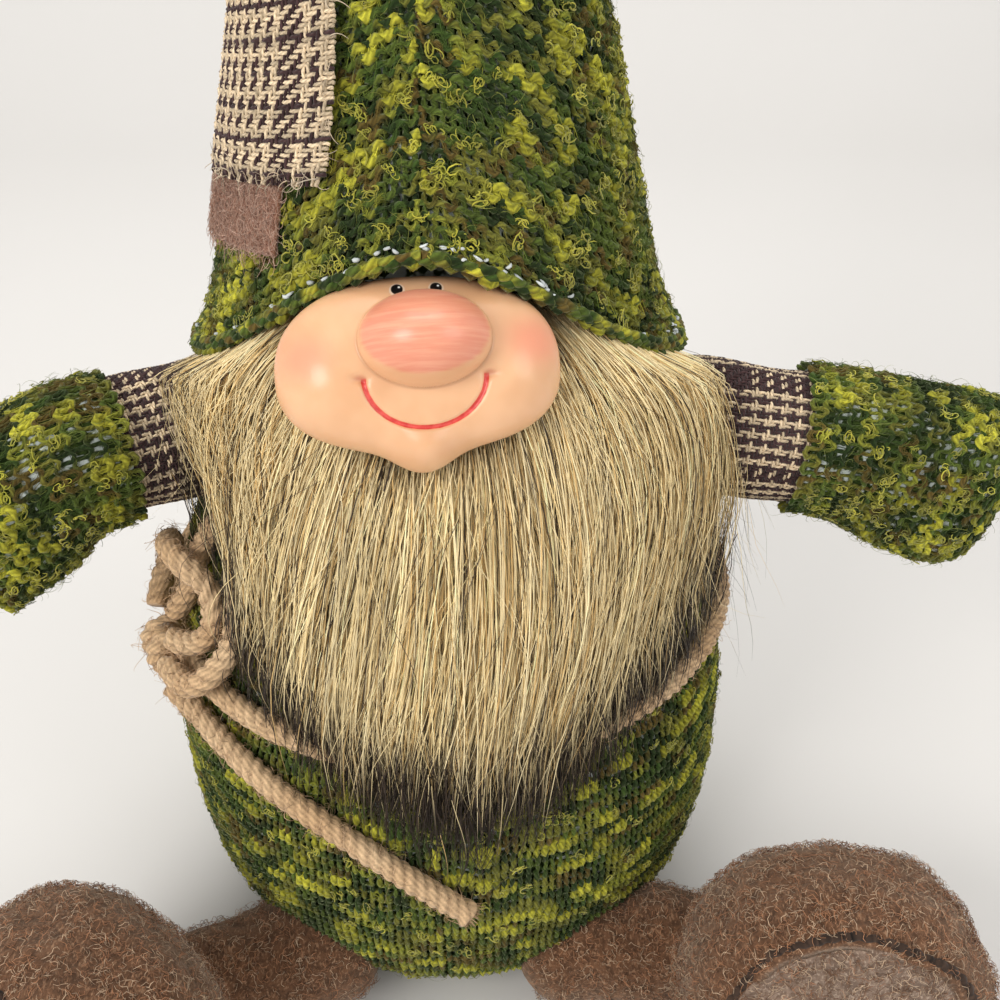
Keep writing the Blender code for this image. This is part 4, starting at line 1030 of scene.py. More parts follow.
for tag in ("l", "r"):
    rng = np.random.default_rng(41 if tag == "l" else 42)
    sh, wr, hd = SHOULDER[tag], WRIST[tag], HAND[tag]
    d, side, up = axis_frame(sh, wr)
    L = float(np.linalg.norm(wr - sh))
    arm = "arm_" + tag
    r_of = table([-12.5, -11.2, -8.4, -3.0, 4.0, 14.0, L + 3], [1.0, 5.6, 9.4, 12.7, 13.7, 13.5, 13.3])

    def sleeve_surf(a, x, off, sh=sh, d=d, side=side, up=up, r_of=r_of):
        r = r_of(x) + off
        r = r + 0.35 * np.sin(3 * a + x * 0.25) * step(-2, 6, x)
        return sh + d * np.asarray(x)[..., None] + side * (r * np.cos(a))[..., None] + up * (r * np.sin(a))[..., None]

    # orientation of (a, x) on this surface: keep outward normals with a positive x-direction
    flip = np.dot(np.cross(side, up), d)
    base = skin_cup("sleeve_cloth_" + tag, lambda a, x, o, f=sleeve_surf: f(-a, x, o), ring(64), np.linspace(L + 1.6, -11.0, 40), -0.65, -1.15, M_TWEEDGROUND)
    place(base, None, "houndstooth_tweed", "sleeve_" + tag)
    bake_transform(base)
    nu, nv = 120, 54
    g = weave(sleeve_surf, 0.0, 2 * PI, -9.5, L + 2.0, nu, nv, True, rng, 0.19, 0.33, 1.0,
              dark_u=lambda i: (i + 6) % 30 < 6, dark_v=lambda j: j % 24 < 5)
    for k, gg in enumerate(g):
        th_ = strand_object("sleeve_threads_%s_%d" % (tag, k + 1), [gg], M_TWEED, None, n=4)
        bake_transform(th_)
    # mitten
    K_ = float(np.linalg.norm(hd - wr))
    d2 = unit(hd - wr)
    ry_t = table([-2.5, 5, 14, 24, 33, K_ - 1.5, K_ + 1.4, K_ + 3.6, K_ + 4.6], [15.9, 16.4, 17.4, 18.9, 19.8, 18.9, 15.8, 10.0, 1.0])
    rx_t = table([-2.5, 5, 14, 24, 33, K_ - 1.5, K_ + 1.4, K_ + 3.6, K_ + 4.6], [15.9, 15.2, 14.2, 13.6, 12.8, 11.0, 8.6, 4.6, 0.6])

    def palm(a, x, off, wr=wr, d=d, d2=d2, K_=K_, ry_t=ry_t, rx_t=rx_t):
        x = np.asarray(x, float)
        a = np.broadcast_to(a, np.broadcast(a, x).shape)
        x = np.broadcast_to(x, a.shape)
        f = step(0, 0.5, np.maximum(0, x) / K_)[..., None]
        dd = unit(d * (1 - f) + d2 * f)
        s2 = unit(np.cross(dd, [0, 0, 1.0]))
        u2 = unit(np.cross(s2, dd))
        xx = (x + off * step(K_ - 4.0, K_ + 4.0, x))[..., None]
        c = wr + np.where(xx <= 0, d * xx, d * xx * (1 - f) + d2 * xx * f)
        p = 2.0 + 0.55 * step(0, 26, x)
        cc, ss = np.cos(a), np.sin(a)
        rx, ry = rx_t(x) + off, ry_t(x) + off
        q = 1.0 / ((np.abs(cc) ** p + np.abs(ss) ** p) ** (1 / p))
        return c + s2 * (rx * cc * q)[..., None] + u2 * (ry * ss * q)[..., None]

    mit = lambda a, x, off, f=palm: f(-np.asarray(a), x, off)
    msk = skin_cup("mitten_skin_" + tag, mit, ring(72), np.concatenate([np.linspace(-2.4, K_ - 2, 36), K_ + np.array([-0.5, 1.0, 2.2, 3.2, 4.0, 4.4])]), -1.2, -2.0, M_KNIT_GROUND_SHADE)
    place(msk, arm, "green_knit", "mitten_" + tag)
    rows, x = [], -1.9
    while x < K_ + 4.3:
        rows.append((x, float(PI * (ry_t(x) + rx_t(x)) * 1.06)))
        x += 2.42 if x < K_ - 3 else 1.5
    mk = knit(mit, rows, 3.5, 1.5, 0.44, 0.52, rng, off0=-0.8)
    strand_object("mitten_knit_" + tag, mk, M_KNIT, arm, n=5)
    strand_object("mitten_spun_fibres_" + tag, yarn_fuzz(mk, rng, 2300, 0.54), M_FUZZ, arm)
    a, x = rng.uniform(-PI, PI, 165), rng.uniform(-2, K_ + 3, 165)
    strand_object("mitten_boucle_" + tag, curls(frames_at(mit, a, x, -0.2), rng, 6, 0.4, 0.85, LIME, LIME2, (0.07, 0.17), out=(0.05, 0.6), size=2.0), M_CURL, arm)
    a, x = rng.uniform(-PI, PI, 500), rng.uniform(-2.4, K_ + 4, 500)
    strand_object("mitten_fuzz_" + tag, hairs(frames_at(mit, a, x, 0.1), rng, (2, 5), (0.3, 1.5), (0.06, 0.10, 0.015), (0.28, 0.30, 0.08), (0.035, 0.07)),
                  M_FUZZ, arm)


# ------------------------------------------------------------------ boots and legs
CREAMFIB, BROWNFIB, REDFIB = np.array([0.50, 0.36, 0.24]), np.array([0.17, 0.085, 0.045]), np.array([0.36, 0.17, 0.085])


def felt_fibres(fr, rng, count_note, K=5, long=(2.0, 5.0), red=0.40, lift=(0.1, 1.3)):
    p, ta, tv, n = fr
    S = len(p)
    t = np.linspace(0, 1, K)[None]
    L = rng.uniform(*long, S)
    curl = rng.normal(0, 2.6, S)
    ang = rng.uniform(0, 2 * PI, S)[:, None] + curl[:, None] * t + 0.8 * np.sin(t * 7 + rng.uniform(0, 6, S)[:, None])
    dx = np.cumsum(np.cos(ang), 1) * (L / K)[:, None]
    dy = np.cumsum(np.sin(ang), 1) * (L / K)[:, None]
    dx -= dx.mean(1, keepdims=True)
    dy -= dy.mean(1, keepdims=True)
    h = rng.uniform(*lift, S)[:, None] * (0.25 + np.abs(np.sin(t * PI * rng.uniform(0.5, 1.6, S)[:, None])))
    P = p[:, None] + ta[:, None] * dx[..., None] + tv[:, None] * dy[..., None] + n[:, None] * h[..., None]
    P[..., 2] = np.maximum(P[..., 2], 0.1)
    R = rng.uniform(0.045, 0.085, S)[:, None] * (1 - 0.45 * t)
    k = rng.uniform(0, 1, S)
    c = np.where((k < 0.34)[:, None], CREAMFIB, np.where((k < 0.34 + red)[:, None], REDFIB, BROWNFIB)) * rng.uniform(0.65, 1.3, S)[:, None]
    return [(P, R, np.repeat(c[:, None], K, 1), np.repeat(n[:, None], K, 1))]


for tag in ("l", "r"):
    rng = np.random.default_rng(51 if tag == "l" else 52)
    foot = "foot_" + tag
    s_ = 1 if tag == "l" else -1
    boot, az_deg, lean_deg, tall = BOOT[tag]
    a_, l_ = math.radians(az_deg), math.radians(lean_deg)
    fwd = np.array([math.sin(a_), -math.cos(a_), 0])
    nrm = fwd * math.cos(l_) + np.array([0, 0, math.sin(l_)])
    upb = np.array([0, 0, math.cos(l_)]) - fwd * math.sin(l_)
    wid = unit(np.cross(upb, nrm))
    k_ = tall / 31.0
    X = [-25.6, -25.0, -21.5, -13, -2, 9, 16.5, 20, 20.6]
    rx_b = table(X, [1.0, 12.6, 20.5, 28, 31.6, 31.4, 28.6, 25.6, 24.6])
    ry_b = table(X, [1.0, 12.6, 20, 27, 31, 31, 28.6, 26.4, 25.4])
    dr_b = table(X, [-9.5, -9.5, -6.5, -2.2, 0, 0, 0, 0, 0])
    lo = 1e9
    for xq in (-2.0, 9.0, -13.0, 16.5, 20.0):
        tt_ = np.linspace(0, 2 * PI, 25)
        zz = boot[2] + nrm[2] * xq + upb[2] * (dr_b(xq) * k_) + upb[2] * ry_b(xq) * k_ * np.sign(np.sin(tt_)) * np.abs(np.sin(tt_)) ** (2 / 2.15) + wid[2] * 0
        lo = min(lo, zz.min())
    boot = boot + np.array([0, 0, -lo])

    def boot_surf(a, x, off, boot=boot, nrm=nrm, upb=upb, wid=wid, k_=k_, rx_b=rx_b, ry_b=ry_b, dr_b=dr_b):
        a, x = np.broadcast_arrays(np.asarray(a, float), np.asarray(x, float))
        cc, ss = np.cos(a), np.sin(a)
        ex = 2 / 2.15
        ux = np.sign(cc) * np.abs(cc) ** ex * (rx_b(x) + off)
        uy = np.sign(ss) * np.abs(ss) ** ex * (ry_b(x) * k_ + off)
        at = x - off * step(-16.0, -24.5, x)
        c = boot + nrm * at[..., None] + upb * (dr_b(x) * k_)[..., None]
        P = c + wid * ux[..., None] + upb * uy[..., None]
        lump = 0.55 * fnoise(P, 17.0, 5)
        P = P + (wid * cc[..., None] + upb * ss[..., None]) * (lump * step(0.2, 1.5, 31 - 0 * x))[..., None]
        P[..., 2] = np.maximum(P[..., 2], 0.05 + 0.0 * off)
        return P

    n_a = 96
    xs = np.concatenate([[-25.4, -25.2], np.linspace(-24.8, 20.0, 46), [20.4]])
    bm_ = skin_cup("boot_felt_" + tag, lambda a, x, o, f=boot_surf: f(a, x, o), ring(n_a), xs[::-1], 0.0, -FELT, M_FELT)
    place(bm_, foot, "brown_wool_felt", "boot_" + tag)
    # sole: a slightly domed felt face sewn in at the front, with a raised seam
    A, B = np.meshgrid(ring(96), np.linspace(1.0, 0.0, 26), indexing="ij")

    def sole_surf(a, q, off, boot=boot, nrm=nrm, upb=upb, wid=wid, k_=k_):
        a, q = np.broadcast_arrays(np.asarray(a, float), np.asarray(q, float))
        cc, ss = np.cos(a), np.sin(a)
        ex = 2 / 2.15
        ux = np.sign(cc) * np.abs(cc) ** ex * 24.4 * q
        uy = np.sign(ss) * np.abs(ss) ** ex * (25.2 * k_) * q
        dome = 20.2 + 2.0 * (1 - q**2) + 0.35 * np.sin(ux * 0.35) * np.sin(uy * 0.3)
        P = boot + wid * ux[..., None] + upb * uy[..., None] + nrm * (dome + off)[..., None]
        return P

    V = np.concatenate([sole_surf(A, B, 0.0).reshape(-1, 3), sole_surf(A, B, -2.4).reshape(-1, 3)])
    n0 = 96 * 26
    i = np.arange(96)
    j = (i + 1) % 96
    q = np.concatenate([grid_faces(96, 26, True), grid_faces(96, 26, True, flip=True) + n0, np.stack([i * 26, n0 + i * 26, n0 + j * 26, j * 26], 1)])
    so = mesh_object("sole_felt_" + tag, V, [q], M_SOLE)
    place(so, foot, "grey_brown_felt", "sole_" + tag)
    # seam: overcast thread ridge round the sole, coloured near-black as painted shade for the crease where the sole
    # meets the boot
    a = np.linspace(0, 2 * PI, 420)
    P = boot_surf(a, np.full(420, 19.6), -0.1 + 0.25 * np.sin(a * 60))
    P[-1] = P[0]
    strand_object("sole_seam_painted_shade_" + tag, [(P[None], 0.8 * (1 + 0.25 * smooth_noise(rng, 420, 70))[None], np.tile([0.035, 0.020, 0.013], (1, 420, 1)) * (1 + 0.3 * rng.normal(size=(1, 420, 1))),
                  (boot_surf(a, np.full(420, 19.6), 2.0) - P)[None])], M_FELTFIBRE, foot, n=6)
    N = 9000
    a, x = rng.uniform(-PI, PI, N), -24.5 + 45.0 * rng.uniform(0, 1, N) ** 0.9
    fr = frames_at(boot_surf, a, x, 0.0, ea=0.02)
    strand_object("boot_fibres_" + tag, felt_fibres(fr, rng, 0), M_FELTFIBRE, foot)
    N = 2600
    a, qq = rng.uniform(-PI, PI, N), np.sqrt(rng.uniform(0.002, 0.98, N))
    p, ta, tv, nn = frames_at(sole_surf, a, qq, 0.0, ea=0.02, ev=0.02)
    fr = (p, ta, tv, np.broadcast_to(nrm, p.shape))
    gs = felt_fibres(fr, rng, 0, red=0.1, lift=(0.1, 0.9))
    strand_object("sole_fibres_" + tag, gs, M_FELTFIBRE, foot)

    # leg: a soft felt tube from the hip into the boot
    hip = HIP[tag]
    lat = wid if wid[0] * s_ < 0 else -wid
    if tag == "r":
        back = -nrm
        end = boot + nrm * -26.3 + upb * (-9.0 * k_)
        inner_r = 12.4
    else:
        back = unit(lat * 0.75 - nrm * 0.66)
        end = boot + nrm * -17.3 + lat * 24.3 + upb * (-8.0 * k_) + back * 1.3
        inner_r = 12.4
    d, side, up = axis_frame(hip, end)
    Lg = float(np.linalg.norm(end - hip))
    # centre line: straight out of the hip, bending into the boot
    tq = np.linspace(0, 1, 60)
    p0, p1, p2, p3 = hip - d * 11.0, hip + d * 8.0, end + back * 6.0, end - back * 5.0
    cl = ((1 - tq) ** 3)[:, None] * p0 + (3 * (1 - tq) ** 2 * tq)[:, None] * p1 + (3 * (1 - tq) * tq**2)[:, None] * p2 + (tq**3)[:, None] * p3
    run_ = np.concatenate([[0], np.cumsum(np.linalg.norm(np.diff(cl, axis=0), axis=1))])
    LT = float(run_[-1])
    lr = table([0, 2.0, 6.0, 12.0, 0.6 * LT, LT - 4, LT], [3.0, 7.4, 11.4, 13.3, 13.3, inner_r, inner_r - 0.6])

    def leg_surf(a, x, off, cl=cl, run_=run_, lr=lr, LT=LT):
        a, x = np.broadcast_arrays(np.asarray(a, float), np.asarray(x, float))
        c = np.stack([np.interp(x, run_, cl[:, i]) for i in range(3)], -1)
        c2 = np.stack([np.interp(x + 1.0, run_, cl[:, i]) for i in range(3)], -1)
        c1 = np.stack([np.interp(x - 1.0, run_, cl[:, i]) for i in range(3)], -1)
        dd = unit(c2 - c1)
        sd = unit(np.cross(dd, [0, 0, 1.0]))
        uu = np.cross(sd, dd)
        r = lr(x) + off + 0.5 * np.sin(2 * a + x * 0.3) * step(4, 12, x)
        P = c + sd * (r * np.cos(a))[..., None] + uu * (r * np.sin(a))[..., None]
        P[..., 2] = np.maximum(P[..., 2], 0.15)
        return P

    leg = skin_cup("leg_felt_" + tag, lambda a, x, o, f=leg_surf: f(-a, x, o), ring(64), np.linspace(LT, 0.6, 40), 0.0, -1.4, M_FELT)
    place(leg, None, "brown_wool_felt", "leg_" + tag)
    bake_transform(leg)
    N = 2600
    a, x = rng.uniform(-PI, PI, N), rng.uniform(4, LT, N)
    fr = frames_at(lambda a, x, o, f=leg_surf: f(-np.asarray(a), x, o), a, x, 0.0, ea=0.03)
    lf = strand_object("leg_fibres_" + tag, felt_fibres(fr, rng, 0), M_FELTFIBRE, None)
    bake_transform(lf)


# ------------------------------------------------------------------ face
n_h = np.array([math.sin(FACE_YAW), -math.cos(FACE_YAW), 0])
f_right = np.array([math.cos(FACE_YAW), math.sin(FACE_YAW), 0])
f_up = np.array([0, 0, 1.0]) * math.cos(FACE_TILT) - n_h * math.sin(FACE_TILT)
f_out = n_h * math.cos(FACE_TILT) + np.array([0, 0, 1.0]) * math.sin(FACE_TILT)


def face_outline(t):
    c, s = np.cos(t), np.sin(t)
    up = s >= 0
    rx = 23.6
    ry = np.where(up, 15.6, 13.2)
    p = np.where(up, 2.3, 2.5)
    r = 1.0 / ((np.abs(c) / rx) ** p + (np.abs(s) / ry) ** p) ** (1 / p)
    return r + 3.6 * np.exp(-(((t + PI / 2) / 0.40) ** 2))


MOUTH = (0.8, -1.5, 9.8, 8.1)
NOSE = (1.1, 4.55, 10.8, 8.0)


def face_front(x, y, s):
    dome = 8.4 * np.sqrt(np.maximum(0.0, 1 - s**2.6)) - 3.0
    d2 = ((x - NOSE[0]) / NOSE[2]) ** 2 + ((y - NOSE[1]) / NOSE[3]) ** 2
    nose = 9.6 * np.sqrt(np.maximum(0, 1 - d2)) * step(1.0, 0.93, d2) + 1.3 * np.exp(-1.8 * d2**1.4)
    cheeks = 1.7 * np.exp(-(((x + 16) / 6.5) ** 2 + ((y + 1.0) / 6.5) ** 2)) + 1.7 * np.exp(-(((x - 17) / 6.5) ** 2 + ((y + 0.5) / 6.5) ** 2))
    chin = 1.5 * np.exp(-(((x - 1) / 5.0) ** 2 + ((y + 13.2) / 3.2) ** 2))
    dm = np.hypot((x - MOUTH[0]) / MOUTH[2], (y - MOUTH[1]) / MOUTH[3])
    on = step(MOUTH[1] + 0.4, MOUTH[1] - 0.6, y)
    groove = -0.6 * np.exp(-(((dm - 1.0) / 0.052) ** 2)) * on
    corner = 0
    for cx in (-1, 1):
        corner = corner - 0.6 * np.exp(-(((x - MOUTH[0] - cx * (MOUTH[2] + 0.6)) / 1.5) ** 2 + ((y - MOUTH[1] + 0.1) / 0.8) ** 2))
    under = 0.0
    return dome + nose + cheeks * (1 - s**6) + chin + groove + corner + under


def make_face():
    nt, ns = 320, 110
    t = np.linspace(-PI, PI, nt, endpoint=False)
    s = np.concatenate([np.linspace(0.012, 0.9, ns - 22), 0.9 + 0.1 * np.sin(np.linspace(0, PI / 2, 23))[1:]])
    Tm, Sm = np.meshgrid(t, s, indexing="ij")
    r = face_outline(Tm) * Sm
    x, y = r * np.cos(Tm), r * np.sin(Tm)
    w = face_front(x, y, Sm)
    front = FACE_AT + f_right * x[..., None] + f_up * y[..., None] + f_out * w[..., None]
    sb = np.array([0.995, 0.985, 0.965, 0.93, 0.85, 0.7, 0.5, 0.3, 0.1])
    Tb, Sb = np.meshgrid(t, sb, indexing="ij")
    rb = face_outline(Tb) * Sb
    xb, yb = rb * np.cos(Tb), rb * np.sin(Tb)
    wb = np.interp(Sb, [0.1, 0.3, 0.62, 0.93, 0.97, 0.99, 1.0], [-9.0, -9.0, -5.6, -5.2, -4.9, -4.3, -3.4])
    backp = FACE_AT + f_right * xb[..., None] + f_up * yb[..., None] + f_out * wb[..., None]
    nsb = len(sb)
    V = np.concatenate([front.reshape(-1, 3), backp.reshape(-1, 3), [FACE_AT + f_out * face_front(np.array(0.0), np.array(0.0), np.array(0.0))], [FACE_AT - f_out * 9.0]])
    nsf = len(s)
    n0 = nt * nsf
    # front rows run from the middle outward, so the outward normal needs the faces turned
    q1 = grid_faces(nt, nsf, True, flip=True)
    q2 = grid_faces(nt, nsb, True, flip=True) + n0
    i = np.arange(nt)
    j = (i + 1) % nt
    rim = np.stack([i * nsf + nsf - 1, n0 + i * nsb, n0 + j * nsb, j * nsf + nsf - 1], 1)
    c1 = np.stack([i * nsf, j * nsf, np.full(nt, n0 + nt * nsb)], 1)
    c2 = np.stack([n0 + j * nsb + nsb - 1, n0 + i * nsb + nsb - 1, np.full(nt, n0 + nt * nsb + 1)], 1)
    xy = np.concatenate([np.stack([x, y, w], -1).reshape(-1, 3), np.stack([xb, yb, wb - 20], -1).reshape(-1, 3), [[0, 0, 5]], [[0, 0, -29]]])
    m = Mat("painted_resin_skin", rough=0.36, spec=0.45, coat=0.25, coat_rough=0.28, sss=0.12, sss_radius=(1.0, 0.45, 0.25), sss_scale=0.004)
    P = m.split(m.attr("Yarn", "Vector"))
    X, Y = P[0], P[1]

    def dist(cx, cy, rx, ry):
        dx = m.math("DIVIDE", m.math("SUBTRACT", X, cx), rx)
        dy = m.math("DIVIDE", m.math("SUBTRACT", Y, cy), ry)
        return m.math("SQRT", m.math("ADD", m.math("MULTIPLY", dx, dx), m.math("MULTIPLY", dy, dy)))

    v3 = m.node("ShaderNodeCombineXYZ")
    m.put(v3.inputs[0], X)
    m.put(v3.inputs[1], Y)
    soft = m.noise(0.12, 2.0, 0.5, vector=v3.outputs[0])
    col = m.mix(m.band(soft, 0.35, 0.65), (0.69, 0.385, 0.205), (0.75, 0.44, 0.245))
    for cx, cy in ((-18.3, 2.4), (18.8, 3.6)):
        b = m.math("MULTIPLY", m.band(dist(cx, cy, 6.6, 5.6), 1.15, 0.1), 0.75)
        col = m.mix(b, col, (0.76, 0.27, 0.165))
    # nose: dry-brushed pink oval over the skin colour
    full = dist(NOSE[0], NOSE[1], NOSE[2], NOSE[3])
    # painted shade: a dark brown line round the nose's rim, strongest along its lower edge where the nose overhangs the
    # face
    fold = m.math("MULTIPLY", m.band(full, 0.955, 1.0), m.band(full, 1.06, 1.0))
    fold = m.math("MULTIPLY", fold, m.band(Y, 9.0, 2.0, 0.15, 0.5))
    col = m.mix(fold, col, (0.42, 0.19, 0.09))
    for ex in (-2.85, 3.45):
        lid = m.math("MULTIPLY", m.band(dist(ex, 12.75, 1.35, 1.25), 1.0, 0.86), 0.55)
        col = m.mix(lid, col, (0.80, 0.70, 0.58))
        eye = m.band(dist(ex, 12.85, 1.02, 1.0), 1.0, 0.88)
        col = m.mix(eye, col, (0.006, 0.005, 0.005))
        glint = m.band(dist(ex + 0.35, 13.2, 0.24, 0.20), 1.0, 0.7)
        col = m.mix(glint, col, (0.85, 0.85, 0.85))
    dn = dist(NOSE[0], NOSE[1] + 0.65, 10.6, 7.15)
    streak = m.noise(0.55, 4.0, 0.6, vector=v3.outputs[0], stretch=(0.18, 2.2, 1))
    edge = m.math("ADD", dn, m.math("MULTIPLY_ADD", streak, 0.14, -0.07))
    pink = m.mix(m.band(streak, 0.35, 0.68), (0.71, 0.245, 0.155), (0.77, 0.335, 0.215))
    bare = m.mix(m.band(full, 1.0, 0.97), col, (0.73, 0.40, 0.215))
    col = m.mix(m.math("MULTIPLY", m.band(edge, 1.0, 0.91), 0.93), bare, pink)
    # mouth: a thin red arc, its corners darkened as painted shade in the dimples there
    dm = dist(MOUTH[0], MOUTH[1], MOUTH[2], MOUTH[3])
    off = m.math("MULTIPLY", m.math("ABSOLUTE", m.math("SUBTRACT", dm, 1.0)), 8.8)
    wob = m.noise(0.9, 2.0, 0.5, vector=v3.outputs[0])
    thick = m.math("ADD", off, m.math("MULTIPLY_ADD", wob, 0.14, -0.07))
    line = m.math("MULTIPLY", m.band(thick, 0.46, 0.30), m.band(Y, MOUTH[1] + 0.25, MOUTH[1] - 0.15))
    col = m.mix(line, col, m.mix(m.band(wob, 0.3, 0.7), (0.58, 0.040, 0.035), (0.72, 0.09, 0.07)))
    # painted shade: darker brown spots in the dimples at the mouth's corners
    for cx in (-1, 1):
        c = m.math("MULTIPLY", m.band(dist(MOUTH[0] + cx * (MOUTH[2] + 0.5), MOUTH[1] + 0.15, 1.5, 0.75), 1.0, 0.1), 0.6)
        col = m.mix(c, col, (0.52, 0.16, 0.085))
    m.colour(col)
    m.bump(m.noise(1.3, 3.0, 0.5, vector=v3.outputs[0]), 0.10, 0.0002)
    ob = mesh_object("painted_face", V, [np.concatenate([q1, q2, rim]), np.concatenate([c1, c2])], m.m, yarn=xy)
    place(ob, "trunk", "painted_resin", "face_mask")
    return ob


make_face()


# ------------------------------------------------------------------ beard
QR = [0, .06, .12, .20, .28, .36, .44, .50, .56, .64, .72, .80, .88, .94, 1.0]
RA = table(QR, [-52, -47, -42, -35, -28, -20, -11, -3, 5, 15, 24, 31, 38, 45, 52])
root_z = lambda q: np.interp(q, QR, [166, 169, 172, 173, 167, 160, 156, 154, 155, 160, 167, 173, 173, 170, 166])
QT = [0, .07, .13, .19, .25, .31, .37, .44, .52, .60, .68, .76, .84, .92, 1.0]
TA = table(QT, [-68, -59, -51, -44, -40, -35, -29, -20, -8, 4, 15, 27, 40, 54, 72])
tip_z = lambda q: np.interp(q, QT, [139, 135, 130, 123, 112, 104, 98.5, 90, 81, 76, 79, 86, 95, 101, 111])
BULGE = lambda q: -13.0 * (1 - step(0.05, 0.50, q)) + 14.0 * step(0.52, 0.95, q)
OFF_T = table([0, 0.10, 0.3, 0.6, 0.85, 1.0], [3.5, 8.2, 11.0, 10.2, 6.2, 3.0])
HAIR_A, HAIR_B, HAIR_C, HAIR_D = np.array([0.84, 0.655, 0.33]), np.array([0.93, 0.78, 0.47]), np.array([0.58, 0.39, 0.16]), np.array([0.022, 0.014, 0.009])


def beard(rng, S, K, low=(0.0, 0.3), span=(0.5, 1.0), thick=(0.12, 0.20), depth=(0.5, 1.0), clump=0.65, n_clump=260, stray=0.0,
          q_of=None, dark=0.05, wave=1.0, extra=0.0):
    qc = rng.uniform(0, 1, n_clump) if q_of is None else q_of(rng, n_clump)
    cl = rng.integers(0, n_clump, S)
    q = np.clip(qc[cl] + rng.normal(0, 0.026, S), 0, 1)
    ce = rng.normal(0, 1, (n_clump, 5))
    t0 = rng.uniform(*low, S)
    t1 = np.minimum(1.0, t0 + rng.uniform(*span, S))
    full = t1 > 0.97
    t1 = np.where(full, 1.0 - np.clip(rng.exponential(0.045, S), 0, 0.3), t1)
    tt = np.linspace(0, 1, K)[None]
    t = t0[:, None] + (t1 - t0)[:, None] * tt
    ra, rz, ta_, tz = RA(q), root_z(q), TA(q), tip_z(q)
    g = clump * tt**1.3
    spread = rng.normal(0, 2.4, S)
    sweep = ce[cl, 2] * 3.4 * wave + rng.normal(0, 1.6, S) * wave
    tipaz = ta_ + ce[cl, 0] * 3.0
    tipz = tz + ce[cl, 1] * 4.6 + rng.normal(0, 1.6, S) - extra * rng.uniform(0, 1, S)
    az = (ra[:, None] + (tipaz - ra)[:, None] * t + spread[:, None] * (1 - g) + BULGE(q)[:, None] * np.sin(PI * np.clip(t / 0.70, 0, 1)) ** 0.9
          + sweep[:, None] * np.sin(PI * tt * 0.9) * (t1 - t0)[:, None])
    z = rz[:, None] + (tipz - rz)[:, None] * t**1.04 + ce[cl, 3][:, None] * 1.2 * np.sin(PI * tt)
    dep = rng.uniform(*depth, S)
    side = 1 + 0.30 * step(30, 60, np.abs(az))
    off = OFF_T(t) * dep[:, None] * side + ce[cl, 4][:, None] * 1.3 * np.sin(PI * np.clip(t * 1.1, 0, 1)) + 0.7 * rng.normal(0, 1, S)[:, None] * tt
    ph = rng.uniform(0, 2 * PI, S)[:, None]
    az = az + 0.7 * wave * np.sin(t * rng.uniform(4, 10, S)[:, None] + ph) * (0.25 + t)
    off = off + 0.5 * wave * np.sin(t * rng.uniform(5, 11, S)[:, None] + ph * 2) * t
    # the locks under the chin swell forward from behind the mask
    front = np.exp(-((az / 26.0) ** 2))
    off = off + front * 4.5 * np.exp(-(((t - 0.08) / 0.16) ** 2)) * dep[:, None]
    if stray:
        sgn = np.sign(ra)
        az = az + (sgn * rng.uniform(2, 12, S))[:, None] * tt**2.0 * stray + 4 * np.sin(tt * rng.uniform(2, 5, S)[:, None] + ph) * tt
        off = off + rng.uniform(1, 12, S)[:, None] * tt**1.7 * stray
        z = z + rng.normal(0, 7, S)[:, None] * tt**2
    # the roots stay under the cap's hem
    ar = np.radians(az)
    room = hat_r(np.maximum(z, 147.0)) + 5.6 * np.exp(-((ar / 0.62) ** 2)) - 3.2 - body_r(z)
    w = step(-5.0, 0.5, z - hem_z(ar))
    off = off * (1 - w) + np.minimum(off, room) * w
    off = np.maximum(off, 1.6)
    P = body_point(az, z, off)
    r0 = rng.uniform(*thick, S)
    R = r0[:, None] * np.interp(tt, [0, 0.15, 0.6, 0.88, 1], [0.7, 1.0, 0.95, 0.55, 0.2])
    f = rng.uniform(0, 1, S)[:, None]
    base = HAIR_A * f + HAIR_B * (1 - f)
    brown = rng.uniform(size=S) < 0.16
    base[brown] = HAIR_C * rng.uniform(0.8, 1.3, (brown.sum(), 1))
    dk = rng.uniform(size=S) < dark
    base[dk] = HAIR_D * 2.5
    base = base * rng.uniform(0.82, 1.15, S)[:, None] * (1 + 0.12 * ce[cl, 1])[:, None].clip(0.75, 1.2)
    C = np.repeat(base[:, None], K, 1)
    # painted shade: the front locks darken towards their roots, where they go in under the mask's chin
    chin = np.exp(-((np.abs(q - 0.5) / 0.22) ** 2))[:, None]
    rootshade = (1 - (1 - np.interp(t, [0, 0.05, 0.16, 1], [0.5, 0.68, 1, 1])) * chin)[..., None]
    lowbelly = (1 - step(0.10, 0.30, q))[:, None] * 0.0
    tipmix = np.where(full[:, None], step(0.72, 0.86, t + rng.normal(0, 0.05, S)[:, None] + lowbelly), 0.35 * step(0.85, 1.0, tt + 0 * t) * step(0.5, 0.8, t))[..., None]
    C = C * rootshade * (1 - tipmix) + HAIR_D * tipmix
    nrm_ = unit(body_point(az, z, off + 1) - P)
    return [(P, R, C, nrm_)]


# under-fur ground that the locks lie on, its dark tan tones painted shade for the gaps between the locks
def fur_surf(u, v, off):
    q = np.asarray(u)
    v = np.asarray(v)
    t = 0.02 + 0.83 * v
    az = RA(q) + (TA(q) - RA(q)) * t + 0.8 * BULGE(q) * np.sin(PI * np.clip(t / 0.70, 0, 1)) ** 0.9
    z = root_z(q) + (tip_z(q) - root_z(q)) * t**1.04
    o = OFF_T(t) * 0.42 + off
    return body_point(az, z, np.maximum(o, 1.4 + off))


